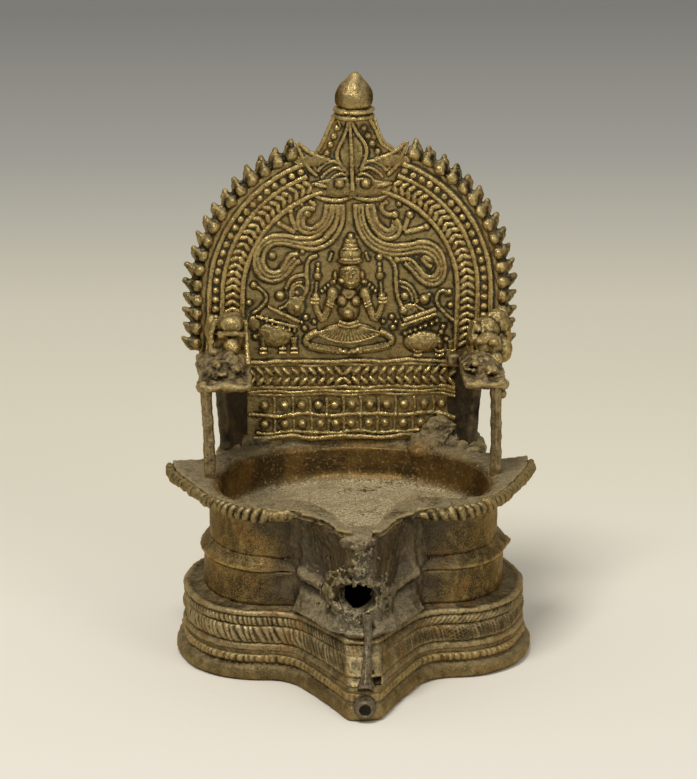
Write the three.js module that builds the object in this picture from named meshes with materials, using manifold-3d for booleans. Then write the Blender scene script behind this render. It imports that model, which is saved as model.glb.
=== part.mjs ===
// Brass throne lamp of the South Indian kind: a hollow moulded pedestal with a pointed nose, a leaf-shaped
// oil pan with a spout, and an upright arched back with a goddess, two elephants and a lion mask in relief.
// Millimetres, +Z up, nose towards -Y. The origin is the middle of the lamp's footprint, on the ground.
import * as THREE from "three";
import { mergeGeometries, mergeVertices } from "three/addons/utils/BufferGeometryUtils.js";
import Module from "manifold-3d";

const wasm = await Module();
wasm.setup();

// Fits and making
const clearance = 0.3; // between pieces that slide together or are laid side by side
const overrun = 1; // how far a cutting body runs past what it cuts
const castWall = 3; // wall of the hollow castings
const facets = 40; // straight steps round a full circle of the body
const threadWidth = 1.1; // one rolled wax thread
const threadSides = 5;

// Round body, seen from above
const drumRadius = 49.8; // lower drum, outside
const panStep = 2; // the upper drum and pan are this much narrower
const panWall = 2.8;
const ledgeWidth = 6.7; // flat top of the tier round the drum
const footStep = 2.5; // the foot roll stands this far out from the tier
const beakReach = 17; // how far the beak stands in front of the drum
const tierNoseSpread = 12; // the tier's nose leans this far forward from top to bottom
const footNoseSpread = 5; // the foot's nose is this much longer than the tier's

// Heights, from the ground up
const rollHeight = 7;
const footNeckHeight = 3;
const tierHeight = 14;
const lowerDrumHeight = 11.3;
const collarHeight = 4.7;
const upperDrumHeight = 13;
const rimThickness = 5.3;

// Oil pan
const panFloorThickness = 3;
const panFloorRise = 1.7; // underside of the pan floor above the bottom of its wall
const spigotDepth = 2.5; // the pan's spigot reaches this far down inside the collar
const channelRise = 8; // the spout's floor climbs from the pan floor to its lip
const channelWeb = 2.4;

// Leaf rim
const wingReach = 14.5; // how far its two side points stand out
const ribbedEdge = 2.8; // width of the ribbed border
const ribPitch = 3.2;

// Throne back
const plateThickness = 3;
const plateSetBack = 0.5; // the plate's face behind the pan's inner wall
const seatHalfWidth = 34.5;
const archBase = 29.2; // underside of the arch above the rim
const archCentreRise = 22.5; // centre of the arch above its underside
const archRadius = 50.3; // plate edge, inside the flames
const flameLength = 6.2;
const flameCount = 16;
const neckHeight = 59.9; // plate top above the centre of the arch
const backLean = 2; // the back leans to the right from the arms up, by this much at the top of its neck
const neckHalfWidth = 6.8;
const edgeMargin = 3.1; // plain edge of the plate outside the outer thread
const chevronBandWidth = 5;
const beadBandWidth = 2.5;
const reliefThickness = 0.9;

// Arms
const armThickness = 3;
const armHalfWidth = 8.7;
const armInset = 3.2; // the arm's front edge behind the pan's middle line
const postRadius = 1.7;
const tenonRadius = 1.1;
const tenonDepth = 2.4;
const cheekReach = 9; // how far the side cheeks come forward along the rim
const tenonWidth = 6;
const tenonEdge = 0.9; // metal left outside the tenon holes at the back of the rim

// Finial
const collarRadius = 7.2;
const collarRise = 3.9;
const budRadius = 6.35;
const budHeight = 11.7;

// Nose of the pedestal
const strutRadius = 1.6;
const nozzleRadius = 4;
const nozzleLength = 9;
const nozzleBore = 2.2;

// Worked-out levels and radii
const footTop = rollHeight + footNeckHeight;
const tierTop = footTop + tierHeight;
const drumTop = tierTop + lowerDrumHeight;
const collarTop = drumTop + collarHeight;
const wallTop = collarTop + upperDrumHeight;
const rimTop = wallTop + rimThickness;
const panRadius = drumRadius - panStep;
const panInner = panRadius - panWall;
const panFloorTop = collarTop + panFloorRise + panFloorThickness;
const tierRadius = drumRadius + ledgeWidth;
const footRadius = tierRadius + footStep;
const beakNose = drumRadius + beakReach;
const tierNoseTop = beakNose + clearance * 4;
const tierNoseFoot = tierNoseTop + tierNoseSpread;
const footNose = tierNoseFoot + footNoseSpread;
const plateFront = panInner + plateSetBack;
const archBottom = rimTop + archBase;
const archCentre = archBottom + archCentreRise;
const plateTop = archCentre + neckHeight;
const bandsWidth = 2 * threadWidth + 4 * clearance + chevronBandWidth + beadBandWidth;
const fieldRadius = archRadius - edgeMargin - bandsWidth; // line of the inner thread round the relief

const brass = { color: 0x7a6334, roughness: 0.5, metalness: 0.85 };
const dustyBrass = { color: 0x85754f, roughness: 0.75, metalness: 0.5 };
const darkBrass = { color: 0x4d4128, roughness: 0.6, metalness: 0.7 };

const v2 = (x, y) => new THREE.Vector2(x, y);
const v3 = (x, y, z) => new THREE.Vector3(x, y, z);

// A geometry as a solid that can be joined and cut.
function solid(geometry) {
  const bare = geometry.index ? geometry.toNonIndexed() : geometry.clone();
  for (const name of Object.keys(bare.attributes)) {
    if (name !== "position") bare.deleteAttribute(name);
  }
  const merged = mergeVertices(bare, 1e-4);
  return new wasm.Manifold(
    new wasm.Mesh({
      numProp: 3,
      vertProperties: merged.attributes.position.array,
      triVerts: new Uint32Array(merged.index.array),
    }),
  );
}

function geometryOf(body) {
  const mesh = body.getMesh();
  const places = new Float32Array(mesh.numVert * 3);
  for (let i = 0; i < mesh.numVert; i++) {
    places.set(mesh.vertProperties.subarray(i * mesh.numProp, i * mesh.numProp + 3), i * 3);
  }
  return new THREE.BufferGeometry()
    .setAttribute("position", new THREE.BufferAttribute(places, 3))
    .setIndex(new THREE.BufferAttribute(mesh.triVerts, 1));
}

const joined = (geometries) => geometries.map(solid).reduce((whole, next) => whole.add(next));

// Skins a row of equal-sided sections into a closed body. Sections run anticlockwise seen from the far end.
// A closed row, such as a ring, has no ends.
function skin(sections, closedRow = false) {
  const sides = sections[0].length;
  const places = sections.flat().flatMap((p) => [p.x, p.y, p.z]);
  const faces = [];
  const rows = closedRow ? sections.length : sections.length - 1;
  for (let row = 0; row < rows; row++) {
    const here = row * sides;
    const next = ((row + 1) % sections.length) * sides;
    for (let i = 0; i < sides; i++) {
      const j = (i + 1) % sides;
      faces.push(here + i, here + j, next + j, here + i, next + j, next + i);
    }
  }
  if (!closedRow) {
    const last = (sections.length - 1) * sides;
    for (const [i, j, k] of capTriangles(sections[0])) faces.push(k, j, i);
    for (const [i, j, k] of capTriangles(sections.at(-1))) faces.push(last + i, last + j, last + k);
  }
  return new THREE.BufferGeometry()
    .setAttribute("position", new THREE.Float32BufferAttribute(places, 3))
    .setIndex(faces);
}

// Triangles of a flat section, in the section's own turning sense.
function capTriangles(section) {
  const normal = v3(0, 0, 0);
  section.forEach((p, i) => {
    const q = section[(i + 1) % section.length];
    normal.add(p.clone().cross(q));
  });
  const turn = new THREE.Quaternion().setFromUnitVectors(normal.normalize(), v3(0, 0, 1));
  const flat = section.map((p) => {
    const q = p.clone().applyQuaternion(turn);
    return v2(q.x, q.y);
  });
  return THREE.ShapeUtils.triangulateShape(flat, []);
}

// Stacks level outlines {z, points} into a body.
const stacked = (levels) =>
  skin(levels.map(({ z, points }) => points.map((p) => v3(p.x, p.y, z))));

// Seen from above, every moulding is round at the back, flattens into two lobes at the front and runs
// out into a nose. Lobe and flank places are shares of the radius and of the nose's length.
const bodyOutlineShares = {
  shoulder: [0.95, 0.31],
  shoulderPull: [0.885, 0.52],
  lobePull: [0.74, 0.66],
  lobe: [0.53, 0.66],
  notchPull: [0.42, 0.66],
  flank: [0.34, 0.16],
  flankPull: [0.25, 0.42],
  tipPull: [0.15, 0.74],
  tip: [0.095, 0.965],
};
const noseRootShare = 0.66;

function bodyOutline(radius, nose) {
  const s = bodyOutlineShares;
  const root = radius * noseRootShare;
  const near = ([x, y]) => v2(x * radius, -y * radius);
  const far = ([x, t]) => v2(x * radius, -(root + t * (nose - root)));
  const half = [];
  const turn = Math.atan2(s.shoulder[1], s.shoulder[0]) + Math.PI / 2;
  const backSteps = Math.round((facets * turn) / (2 * Math.PI));
  for (let i = 0; i <= backSteps; i++) {
    const a = Math.PI / 2 - (turn * i) / backSteps;
    half.push(v2(radius * Math.cos(a), radius * Math.sin(a)));
  }
  const lobe = new THREE.CubicBezierCurve(
    half.at(-1),
    near(s.shoulderPull),
    near(s.lobePull),
    near(s.lobe),
  );
  const notch = new THREE.QuadraticBezierCurve(near(s.lobe), near(s.notchPull), far(s.flank));
  const flank = new THREE.CubicBezierCurve(far(s.flank), far(s.flankPull), far(s.tipPull), far(s.tip));
  half.push(...lobe.getPoints(5).slice(1), ...notch.getPoints(3).slice(1), ...flank.getPoints(4).slice(1));
  const tip = v2(0, -nose);
  const left = half.slice(1).map((p) => v2(-p.x, p.y));
  return [...left.reverse(), ...half, tip].reverse();
}

const level = (z, radius, nose) => ({ z, points: bodyOutline(radius, nose) });

// A closed outline with its straight steps divided, so that no two points are much over a step apart.
function divided(points, step) {
  return points.flatMap((p, i) => {
    const q = points[(i + 1) % points.length];
    const parts = Math.max(1, Math.round(p.distanceTo(q) / step));
    return Array.from({ length: parts }, (_, k) => p.clone().lerp(q, k / parts));
  });
}

// A ring of beads that follows a body outline. Its section has three corners, and the outer one rises at
// each bead.
function beadRing(radius, nose, z, height, swell, step) {
  const inner = divided(bodyOutline(radius, nose), step);
  const sections = inner.map((p, i) => {
    const away = p.clone().normalize();
    const crest = p.clone().addScaledVector(away, i % 2 ? swell : swell * 0.55);
    return [v3(p.x, p.y, z + height), v3(crest.x, crest.y, z + height * 0.5), v3(p.x, p.y, z)];
  });
  return skin(sections, true);
}

const materialOf = ({ color, roughness, metalness }) =>
  new THREE.MeshStandardMaterial({ color, roughness, metalness });

function piece(name, geometry, finish = brass) {
  const mesh = new THREE.Mesh(geometry, materialOf(finish));
  mesh.name = name;
  return mesh;
}

const lamp = new THREE.Group();
const face = new THREE.Group(); // upright frame of the plate: x across, y up, z out of its face
face.rotation.x = Math.PI / 2;
face.position.y = plateFront;
lamp.add(face);

// Front stretch of the drum that the beak takes over, as a box that reaches from below to above.
const beakHalfWidth = 0.45 * panRadius;
function beakZone(grow) {
  const half = beakHalfWidth + grow;
  const box = new THREE.BoxGeometry(2 * half, 2 * footNose, 4 * rimTop);
  return solid(box.translate(0, -footNose - 0.3 * panRadius, 0));
}

// Pedestal foot: a roll moulding with a bead step above it, hollow and open below
const footInner = tierRadius - castWall;
const footInnerNose = tierNoseFoot - 1.3 * castWall;
const rollBulge = 0.3 * footStep;
const beadStep = 1.4; // how far the beads stand out
const footBeadStep = 3.2; // half the spacing of the beads
const nozzleHeight = nozzleRadius + 0.4;
const nozzleBack = footNose - nozzleLength + 1.2;

function nozzleAxis(radius, from, to) {
  const length = to - from;
  return new THREE.CylinderGeometry(radius, radius, length, 14)
    .translate(0, length / 2, 0)
    .rotateX(Math.PI)
    .translate(0, -from, nozzleHeight);
}

function pedestalFoot() {
  const neck = footRadius - footStep;
  const outer = stacked([
    level(0, footRadius - 2 * rollBulge, footNose - 2 * rollBulge),
    level(rollHeight * 0.25, footRadius - 0.4 * rollBulge, footNose - 0.4 * rollBulge),
    level(rollHeight * 0.6, footRadius, footNose),
    level(rollHeight, footRadius - rollBulge, footNose - rollBulge),
    level(rollHeight, neck, footNose - footStep),
    level(footTop, neck, footNose - footStep),
  ]);
  const hollow = stacked([
    level(-overrun, footInner, footInnerNose),
    level(footTop + overrun, footInner, footInnerNose),
  ]);
  return solid(outer)
    .subtract(solid(hollow))
    .subtract(solid(nozzleAxis(nozzleRadius + clearance, nozzleBack - clearance, footNose + overrun)));
}
lamp.add(piece("pedestal_foot", geometryOf(pedestalFoot())));

// Row of beads round the foot's neck, broken at the tip by the nozzle
function footBeads() {
  const stand = clearance - footStep;
  const height = footNeckHeight - clearance;
  const ring = beadRing(footRadius + stand, footNose + stand, rollHeight, height, beadStep, footBeadStep);
  const gap = nozzleAxis(nozzleRadius + clearance, 0.5 * footNose, footNose + overrun);
  return solid(ring).subtract(solid(gap));
}
lamp.add(piece("foot_bead_row", geometryOf(footBeads())));

// Pedestal tier: a shallow drum with a rope row round it and a sloping ledge on top
const ropeSeat = 2.3; // height of the lip under the rope row
const ropeHeight = 5.6;
const ropeDepth = 1.3;
const ropeStep = 3.4; // half the spacing of the rope's ribs
const ledgeEdge = 2.2; // height of the thread at the ledge's rim
const ledgeSlope = 2.4;

function noseAt(z) {
  const share = (tierTop - z) / tierHeight;
  return tierNoseTop + share * tierNoseSpread;
}

function pedestalTier() {
  const recess = tierRadius - ropeDepth;
  const ropeTop = footTop + ropeSeat + ropeHeight + 2 * clearance;
  const edgeTop = tierTop - ledgeSlope;
  const outer = stacked([
    level(footTop, tierRadius, noseAt(footTop)),
    level(footTop + ropeSeat, tierRadius, noseAt(footTop + ropeSeat)),
    level(footTop + ropeSeat, recess, noseAt(footTop + ropeSeat) - ropeDepth),
    level(ropeTop, recess, noseAt(ropeTop) - ropeDepth),
    level(ropeTop, tierRadius, noseAt(ropeTop)),
    level(edgeTop, tierRadius, noseAt(edgeTop)),
    level(tierTop, drumRadius + clearance, tierNoseTop),
  ]);
  const hollowTop = drumRadius - castWall;
  const hollow = stacked([
    level(footTop - overrun, footInner, footInnerNose),
    level(edgeTop - ledgeEdge, footInner - 0.5 * castWall, noseAt(edgeTop) - 1.5 * castWall),
    level(tierTop - 0.6 * castWall, hollowTop, beakNose - 1.5 * castWall),
    level(tierTop + overrun, hollowTop, beakNose - 1.5 * castWall),
  ]);
  const leak = new THREE.CylinderGeometry(1.3, 1.3, 3 * castWall, 8)
    .scale(1, 1, 2.2)
    .translate(strutRadius + 3, -(noseAt(footTop + 3) - castWall), footTop + 3.6);
  return solid(outer).subtract(solid(hollow)).subtract(solid(leak));
}
lamp.add(piece("pedestal_tier", geometryOf(pedestalTier())));

// Rope row: twisted ribs round the tier, in the recess under the ledge's edge
function ropeRow() {
  const low = footTop + ropeSeat + clearance;
  const stand = clearance - ropeDepth;
  const bottom = divided(bodyOutline(tierRadius + stand, noseAt(low) + stand), ropeStep);
  const lean = noseAt(low + ropeHeight) - noseAt(low);
  const leanAt = (y) => lean * THREE.MathUtils.smoothstep(-y, drumRadius, beakNose);
  const top = bottom.map(({ x, y }) => v2(x, y - leanAt(y)));
  const sections = bottom.map((p, i) => {
    const q = top[i];
    const away = p.clone().normalize();
    const swell = (i % 2 ? 1 : 0.5) * (ropeDepth - clearance);
    const low3 = v3(p.x, p.y, low);
    const high3 = v3(q.x, q.y, low + ropeHeight);
    const lowOut = low3.clone().add(v3(away.x * swell, away.y * swell, 0.25 * ropeHeight));
    const highOut = high3.clone().add(v3(away.x * swell, away.y * swell, -0.25 * ropeHeight));
    return [high3, highOut, lowOut, low3];
  });
  return skin(sections, true);
}
lamp.add(piece("tier_rope_row", ropeRow()));

// Lower drum: a plain open wall from the tier up to the collar, with its front left to the beak
function lowerDrum() {
  const outer = stacked([level(tierTop, drumRadius, beakNose), level(drumTop, drumRadius, beakNose)]);
  const inner = drumRadius - castWall;
  const hollow = stacked([
    level(tierTop - overrun, inner, beakNose - castWall),
    level(drumTop + overrun, inner, beakNose - castWall),
  ]);
  return solid(outer).subtract(solid(hollow)).subtract(beakZone(clearance / 2));
}
lamp.add(piece("lower_drum", geometryOf(lowerDrum())));

// Collar: the raised thread and sloping shoulder where the pan's casting sits on the pedestal's
const collarThread = 1;
function drumCollar() {
  const bulge = drumRadius + collarThread;
  const outer = stacked([
    level(drumTop, drumRadius, beakNose),
    level(drumTop + 0.5 * threadWidth, bulge, beakNose),
    level(drumTop + 1.5 * threadWidth, bulge, beakNose),
    level(collarTop, panRadius, beakNose - panStep),
  ]);
  const inner = panInner - clearance;
  const hollow = stacked([
    level(drumTop - overrun, inner, beakNose - castWall),
    level(collarTop + overrun, inner, beakNose - castWall),
  ]);
  return solid(outer).subtract(solid(hollow)).subtract(beakZone(clearance / 2));
}
lamp.add(piece("drum_collar", geometryOf(drumCollar())));

// Oil pan: the upper drum wall and its floor, with a spigot below that drops inside the collar
function oilPan() {
  const nose = beakNose - panStep;
  const outer = stacked([level(collarTop, panRadius, nose), level(wallTop, panRadius, nose)]);
  const bowl = stacked([
    level(panFloorTop, panInner - 1.2, nose - castWall),
    level(panFloorTop + 1.5, panInner, nose - castWall),
    level(wallTop + overrun, panInner, nose - castWall),
  ]);
  const spigotOuter = panInner - 2 * clearance;
  const spigotInner = spigotOuter - panWall;
  const spigot = stacked([
    level(collarTop - spigotDepth, spigotOuter, nose - castWall),
    level(collarTop + panFloorRise, spigotOuter, nose - castWall),
  ]);
  const recess = stacked([
    level(collarTop - spigotDepth - overrun, spigotInner, nose - 2 * castWall),
    level(collarTop + panFloorRise, spigotInner, nose - 2 * castWall),
  ]);
  return solid(outer)
    .add(solid(spigot))
    .subtract(solid(recess))
    .subtract(solid(bowl))
    .subtract(beakZone(clearance / 2));
}
lamp.add(piece("oil_pan", geometryOf(oilPan()), dustyBrass));

// Beak: the drum's pointed front, with the spout's floor inside and a corroded hole under it
const holeHalfWidth = 5.2;
const holeHalfHeight = 4.5;
const holeHeight = drumTop + 0.4;

function spoutBeak() {
  const nose = beakNose - panStep;
  const outer = stacked([
    level(tierTop, drumRadius, beakNose),
    level(drumTop, drumRadius, beakNose),
    level(collarTop, panRadius, nose),
    level(wallTop, panRadius, nose - 0.5 * panStep),
  ]);
  const hollow = stacked([
    level(tierTop - overrun, panInner, nose - 1.3 * castWall),
    level(wallTop + overrun, panInner, nose - 1.6 * castWall),
  ]);
  const root = noseRootShare * panRadius;
  const side = new THREE.Shape([
    v2(0, panFloorTop),
    v2(0, panFloorTop - panFloorThickness),
    v2(root, panFloorTop - panFloorThickness),
    v2(beakNose, panFloorTop + channelRise - channelWeb),
    v2(beakNose, panFloorTop + channelRise),
    v2(root, panFloorTop),
  ]);
  const web = new THREE.ExtrudeGeometry(side, { depth: 3 * beakHalfWidth, bevelEnabled: false })
    .translate(0, 0, -1.5 * beakHalfWidth)
    .applyMatrix4(new THREE.Matrix4().makeBasis(v3(0, -1, 0), v3(0, 0, 1), v3(-1, 0, 0)));
  const holeTurn = new THREE.CylinderGeometry(1, 1, 8 * castWall, 11)
    .scale(holeHalfWidth, 1, holeHalfHeight)
    .translate(0, -beakNose, holeHeight);
  return solid(outer)
    .subtract(solid(hollow).subtract(solid(web)))
    .intersect(beakZone(-clearance / 2))
    .subtract(solid(holeTurn));
}
lamp.add(piece("spout_beak", geometryOf(spoutBeak()), darkBrass));

// Leaf rim, seen from above, as shares of the pan's outer radius: the outer line runs from a lip's point
// round to a wing's tip, the inner line from the pan's wall out along the lip.
const rimOuterShares = [
  [0.065, -1.31],
  [0.134, -1.27],
  [0.2, -1.09],
  [0.275, -0.94],
  [0.408, -0.84],
  [0.523, -0.813],
  [0.649, -0.8],
  [0.816, -0.722],
  [0.97, -0.52],
  [1.067, -0.34],
  [1.2, 0.02],
  [1.285, 0.29],
];
const rimInnerShares = [
  [0.64, -0.505],
  [0.52, -0.505],
  [0.432, -0.525],
  [0.325, -0.61],
  [0.25, -0.735],
  [0.195, -0.88],
  [0.157, -1.05],
  [0.1, -1.26],
];
const wingTipShare = 0.53; // how far behind the middle line a wing's tip lies
const wingRootShares = [1.07, 0.49];
const ribStart = 0.3; // where the ribbed border begins along the outer line, counted from the lip
const insetRamp = 0.08;

// The leaf's outer line on the right, moved in by an inset that fades away on the lip.
function leafOuterLine(inset, from = 0) {
  const stops = rimOuterShares.map(([x, y]) => v2(x * panRadius, y * panRadius));
  stops.push(v2(panRadius + wingReach, wingTipShare * panRadius));
  const line = new THREE.SplineCurve(stops);
  const count = 30;
  const points = [];
  for (let i = 0; i <= count; i++) {
    const t = from + ((1 - from) * i) / count;
    const along = line.getTangentAt(t);
    const at = line.getPointAt(t);
    const fade = THREE.MathUtils.clamp((t - ribStart + insetRamp) / insetRamp, 0, 1);
    points.push(v2(at.x - along.y * inset * fade, at.y + along.x * inset * fade));
  }
  return points;
}

function leafRim() {
  const outline = leafOuterLine(ribbedEdge + clearance);
  const backReach = Math.hypot(tenonX + tenonWidth / 2, plateFront + plateThickness) + tenonEdge;
  const root = v2(...wingRootShares).multiplyScalar(panRadius);
  const right = [...outline, root];
  const start = Math.atan2(root.y, root.x) + 0.08;
  const steps = 7;
  for (let i = 0; i <= steps; i++) {
    const a = start + ((Math.PI / 2 - start) * i) / steps;
    right.push(v2(backReach * Math.cos(a), backReach * Math.sin(a)));
  }
  const left = right.slice(0, -1).map((p) => v2(-p.x, p.y));
  const lips = rimInnerShares.map(([x, y]) => v2(x * panRadius, y * panRadius));
  const inner = [];
  const lipStart = -0.5;
  const innerSteps = 11;
  for (let i = 0; i <= innerSteps; i++) {
    const a = Math.PI / 2 + ((lipStart - Math.PI / 2) * i) / innerSteps;
    inner.push(v2(panInner * Math.cos(a), panInner * Math.sin(a)));
  }
  inner.push(...lips);
  const innerLeft = inner.slice(1).map((p) => v2(-p.x, p.y));
  const shape = new THREE.Shape([...right, ...left.reverse(), ...innerLeft.reverse(), ...inner]);
  const slab = new THREE.ExtrudeGeometry(shape, { depth: rimThickness, bevelEnabled: false, steps: 1 });
  let body = solid(slab.translate(0, 0, wallTop));
  for (const side of [-1, 1]) {
    body = body.subtract(solid(postHole(side, rimTop)));
    body = body.subtract(solid(plateTenon(side, clearance)));
  }
  return body;
}

// Posts stand on the rim's middle line and carry the front corners of the arms.
const postX = panInner + postRadius + 0.8;
const postY = armInset + postRadius + 0.6;
const armBottom = archBottom - clearance - armThickness + 2.6;
const armTop = armBottom + armThickness;

function postHole(side, mouth) {
  const depth = tenonDepth + clearance;
  const hole = new THREE.CylinderGeometry(tenonRadius + clearance, tenonRadius + clearance, 2 * depth, 10);
  return hole.rotateX(Math.PI / 2).translate(side * postX, postY, mouth);
}

const tenonX = 0.72 * seatHalfWidth;
function plateTenon(side, grow) {
  const height = rimThickness + (grow > 0 ? 2 * overrun : 0);
  const box = new THREE.BoxGeometry(tenonWidth + 2 * grow, plateThickness + 2 * grow, height);
  const drop = grow > 0 ? rimTop - rimThickness / 2 : rimTop - rimThickness / 2 + overrun / 2;
  return box.translate(side * tenonX, plateFront + plateThickness / 2, drop);
}
lamp.add(piece("leaf_rim", geometryOf(leafRim()), dustyBrass));

// Ribbed border of the leaf, one strip each side from the lobe to the wing tip
function ribbedBorder() {
  const insideLine = new THREE.SplineCurve(leafOuterLine(ribbedEdge, ribStart));
  const outsideLine = new THREE.SplineCurve(leafOuterLine(0, ribStart));
  const count = Math.round(outsideLine.getLength() / ribPitch);
  const sections = [];
  for (let i = 0; i <= 2 * count; i++) {
    const t = i / (2 * count);
    const p = insideLine.getPoint(t);
    const q = outsideLine.getPoint(t);
    const swell = i % 2 ? 1 : 0.45;
    const crest = p.clone().lerp(q, 0.45 + 0.3 * swell);
    const edge = p.clone().lerp(q, 0.6 + 0.4 * swell);
    sections.push([
      v3(p.x, p.y, wallTop - 0.4),
      v3(p.x, p.y, rimTop - 0.3),
      v3(crest.x, crest.y, rimTop - 1.4 + swell),
      v3(edge.x, edge.y, wallTop + 1.2 + swell),
      v3(edge.x, edge.y, wallTop - 0.4),
    ]);
  }
  return skin(sections);
}
for (const [name, side] of [["leaf_edge_left", -1], ["leaf_edge_right", 1]]) {
  const mesh = piece(name, ribbedBorder(), brass);
  mesh.scale.x = side;
  lamp.add(mesh);
}

// Strut down the nose from under the hole, and the small nozzle at the foot's tip
function noseStrut() {
  const standOff = strutRadius + 2 * clearance;
  const centres = [
    v3(0, -(noseAt(footTop) + standOff), footTop),
    v3(0, -(noseAt(tierTop) + standOff), tierTop),
    v3(0, -(beakNose + standOff), tierTop + 0.45 * lowerDrumHeight),
    v3(0, -(beakNose + standOff) + 0.4, holeHeight - holeHalfHeight - 0.9),
  ];
  const sections = centres.map((c) => {
    const ring = [];
    for (let i = 0; i < 8; i++) {
      const a = (i * Math.PI) / 4;
      ring.push(v3(c.x + strutRadius * Math.cos(a), c.y + strutRadius * Math.sin(a), c.z));
    }
    return ring;
  });
  return skin(sections);
}
lamp.add(piece("nose_strut", noseStrut(), darkBrass));

function footNozzle() {
  const body = nozzleAxis(nozzleRadius, nozzleBack, footNose + 0.6);
  const bore = nozzleAxis(nozzleBore, footNose - 4, footNose + overrun);
  return solid(body).subtract(solid(bore));
}
lamp.add(piece("foot_nozzle", geometryOf(footNozzle()), darkBrass));

// Back plate: seat below, horseshoe arch above, neck for the finial, two tenons down through the rim
const flatDepth = { depth: plateThickness, bevelEnabled: false, curveSegments: 24 };

// Leans part of the back to the right above the arms. Mirrored pieces lean by their own side.
function leaned(geometry, side = 1, height = "getY") {
  const places = geometry.attributes.position;
  for (let i = 0; i < places.count; i++) {
    const rise = Math.max(0, places[height](i) - armTop) / (plateTop - armTop);
    places.setX(i, places.getX(i) + side * backLean * rise);
  }
  return geometry;
}

const neckFlareShares = { out: 0.27, up: 0.79 };

function backPlate() {
  const shape = new THREE.Shape();
  shape.moveTo(-seatHalfWidth, rimTop);
  shape.lineTo(seatHalfWidth, rimTop);
  shape.lineTo(seatHalfWidth, archBottom);
  shape.lineTo(archRadius, archBottom);
  shape.lineTo(archRadius, archCentre);
  const flare = Math.PI / 2 - neckFlareShares.out;
  shape.absarc(0, archCentre, archRadius, 0, flare, false);
  shape.quadraticCurveTo(
    1.25 * neckHalfWidth,
    archCentre + neckFlareShares.up * neckHeight,
    neckHalfWidth,
    plateTop,
  );
  shape.lineTo(-neckHalfWidth, plateTop);
  shape.quadraticCurveTo(
    -1.25 * neckHalfWidth,
    archCentre + neckFlareShares.up * neckHeight,
    -archRadius * Math.cos(flare),
    archCentre + archRadius * Math.sin(flare),
  );
  shape.absarc(0, archCentre, archRadius, Math.PI - flare, Math.PI, false);
  shape.lineTo(-archRadius, archBottom);
  shape.lineTo(-seatHalfWidth, archBottom);
  shape.closePath();
  const slab = new THREE.ExtrudeGeometry(shape, flatDepth)
    .rotateX(Math.PI / 2)
    .translate(0, plateFront + plateThickness, 0);
  const pin = new THREE.CylinderGeometry(tenonRadius, tenonRadius, collarRise + tenonDepth, 10)
    .rotateX(Math.PI / 2)
    .translate(0, plateFront + plateThickness / 2, plateTop + (collarRise + tenonDepth) / 2 - 0.5);
  return solid(slab)
    .add(solid(pin))
    .add(solid(plateTenon(-1, 0)))
    .add(solid(plateTenon(1, 0)));
}
lamp.add(piece("back_plate", leaned(geometryOf(backPlate()), 1, "getZ")));

// Side cheeks: low walls that turn forward from the seat along the rim, under the arms
function sideCheek() {
  const from = v2(seatHalfWidth + clearance, plateFront + plateThickness);
  const to = v2(seatHalfWidth + cheekReach, plateFront - cheekReach);
  const across = to.clone().sub(from).normalize();
  const inward = v2(across.y, -across.x).multiplyScalar(castWall);
  const shape = new THREE.Shape([
    from,
    v2(seatHalfWidth + clearance, plateFront),
    to.clone().add(inward),
    to,
  ]);
  const height = armBottom - rimTop;
  const slab = new THREE.ExtrudeGeometry(shape, { depth: height, bevelEnabled: false });
  return slab.translate(0, 0, rimTop);
}

// Arms: flat shelves from the plate forward to the posts
const armX = postX + 0.6 + postRadius + 1.2 - armHalfWidth;
function throneArm() {
  const length = plateFront - armInset;
  const corner = 1.6;
  const shape = new THREE.Shape();
  const x0 = armX - armHalfWidth;
  const x1 = armX + armHalfWidth;
  shape.moveTo(x0 + corner, armInset);
  shape.lineTo(x1 - corner, armInset);
  shape.quadraticCurveTo(x1, armInset, x1, armInset + corner);
  shape.lineTo(x1 - corner, armInset + length);
  shape.lineTo(x0 + corner, armInset + length);
  shape.lineTo(x0, armInset + corner);
  shape.quadraticCurveTo(x0, armInset, x0 + corner, armInset);
  const flat = { depth: armThickness, bevelEnabled: false, curveSegments: 3 };
  const slab = new THREE.ExtrudeGeometry(shape, flat);
  return solid(slab.translate(0, 0, armBottom)).subtract(solid(postHole(1, armBottom)));
}

function armPost() {
  const r = postRadius;
  const t = tenonRadius;
  const height = armBottom - rimTop;
  const profile = [
    v2(0, -tenonDepth),
    v2(t, -tenonDepth),
    v2(t, 0),
    v2(r * 1.15, 0),
    v2(r * 0.95, 0.3 * height),
    v2(r, 0.75 * height),
    v2(r * 1.2, height),
    v2(t, height),
    v2(t, height + tenonDepth),
    v2(0, height + tenonDepth),
  ];
  return new THREE.LatheGeometry(profile, 8).rotateX(Math.PI / 2).translate(postX, postY, rimTop);
}

for (const [name, side] of [["left", -1], ["right", 1]]) {
  for (const [kind, geometry, finish] of [
    ["side_cheek", sideCheek(), darkBrass],
    ["throne_arm", geometryOf(throneArm()), dustyBrass],
    ["arm_post", armPost(), brass],
  ]) {
    const mesh = piece(`${kind}_${name}`, geometry, finish);
    mesh.scale.x = side;
    lamp.add(mesh);
  }
}

// Rounded lump, and a round bar between two points, for the figures
function lump(x, y, z, rx, ry, rz, turn = 0) {
  return new THREE.SphereGeometry(1, 7, 5).scale(rx, ry, rz).rotateZ(turn).translate(x, y, z);
}

function bar(from, to, radius, sides = 6) {
  const along = to.clone().sub(from);
  const rod = new THREE.CylinderGeometry(radius * 0.85, radius, along.length(), sides);
  const turn = new THREE.Quaternion().setFromUnitVectors(v3(0, 1, 0), along.clone().normalize());
  return rod.applyQuaternion(turn).translate(...from.clone().add(to).multiplyScalar(0.5).toArray());
}

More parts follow.
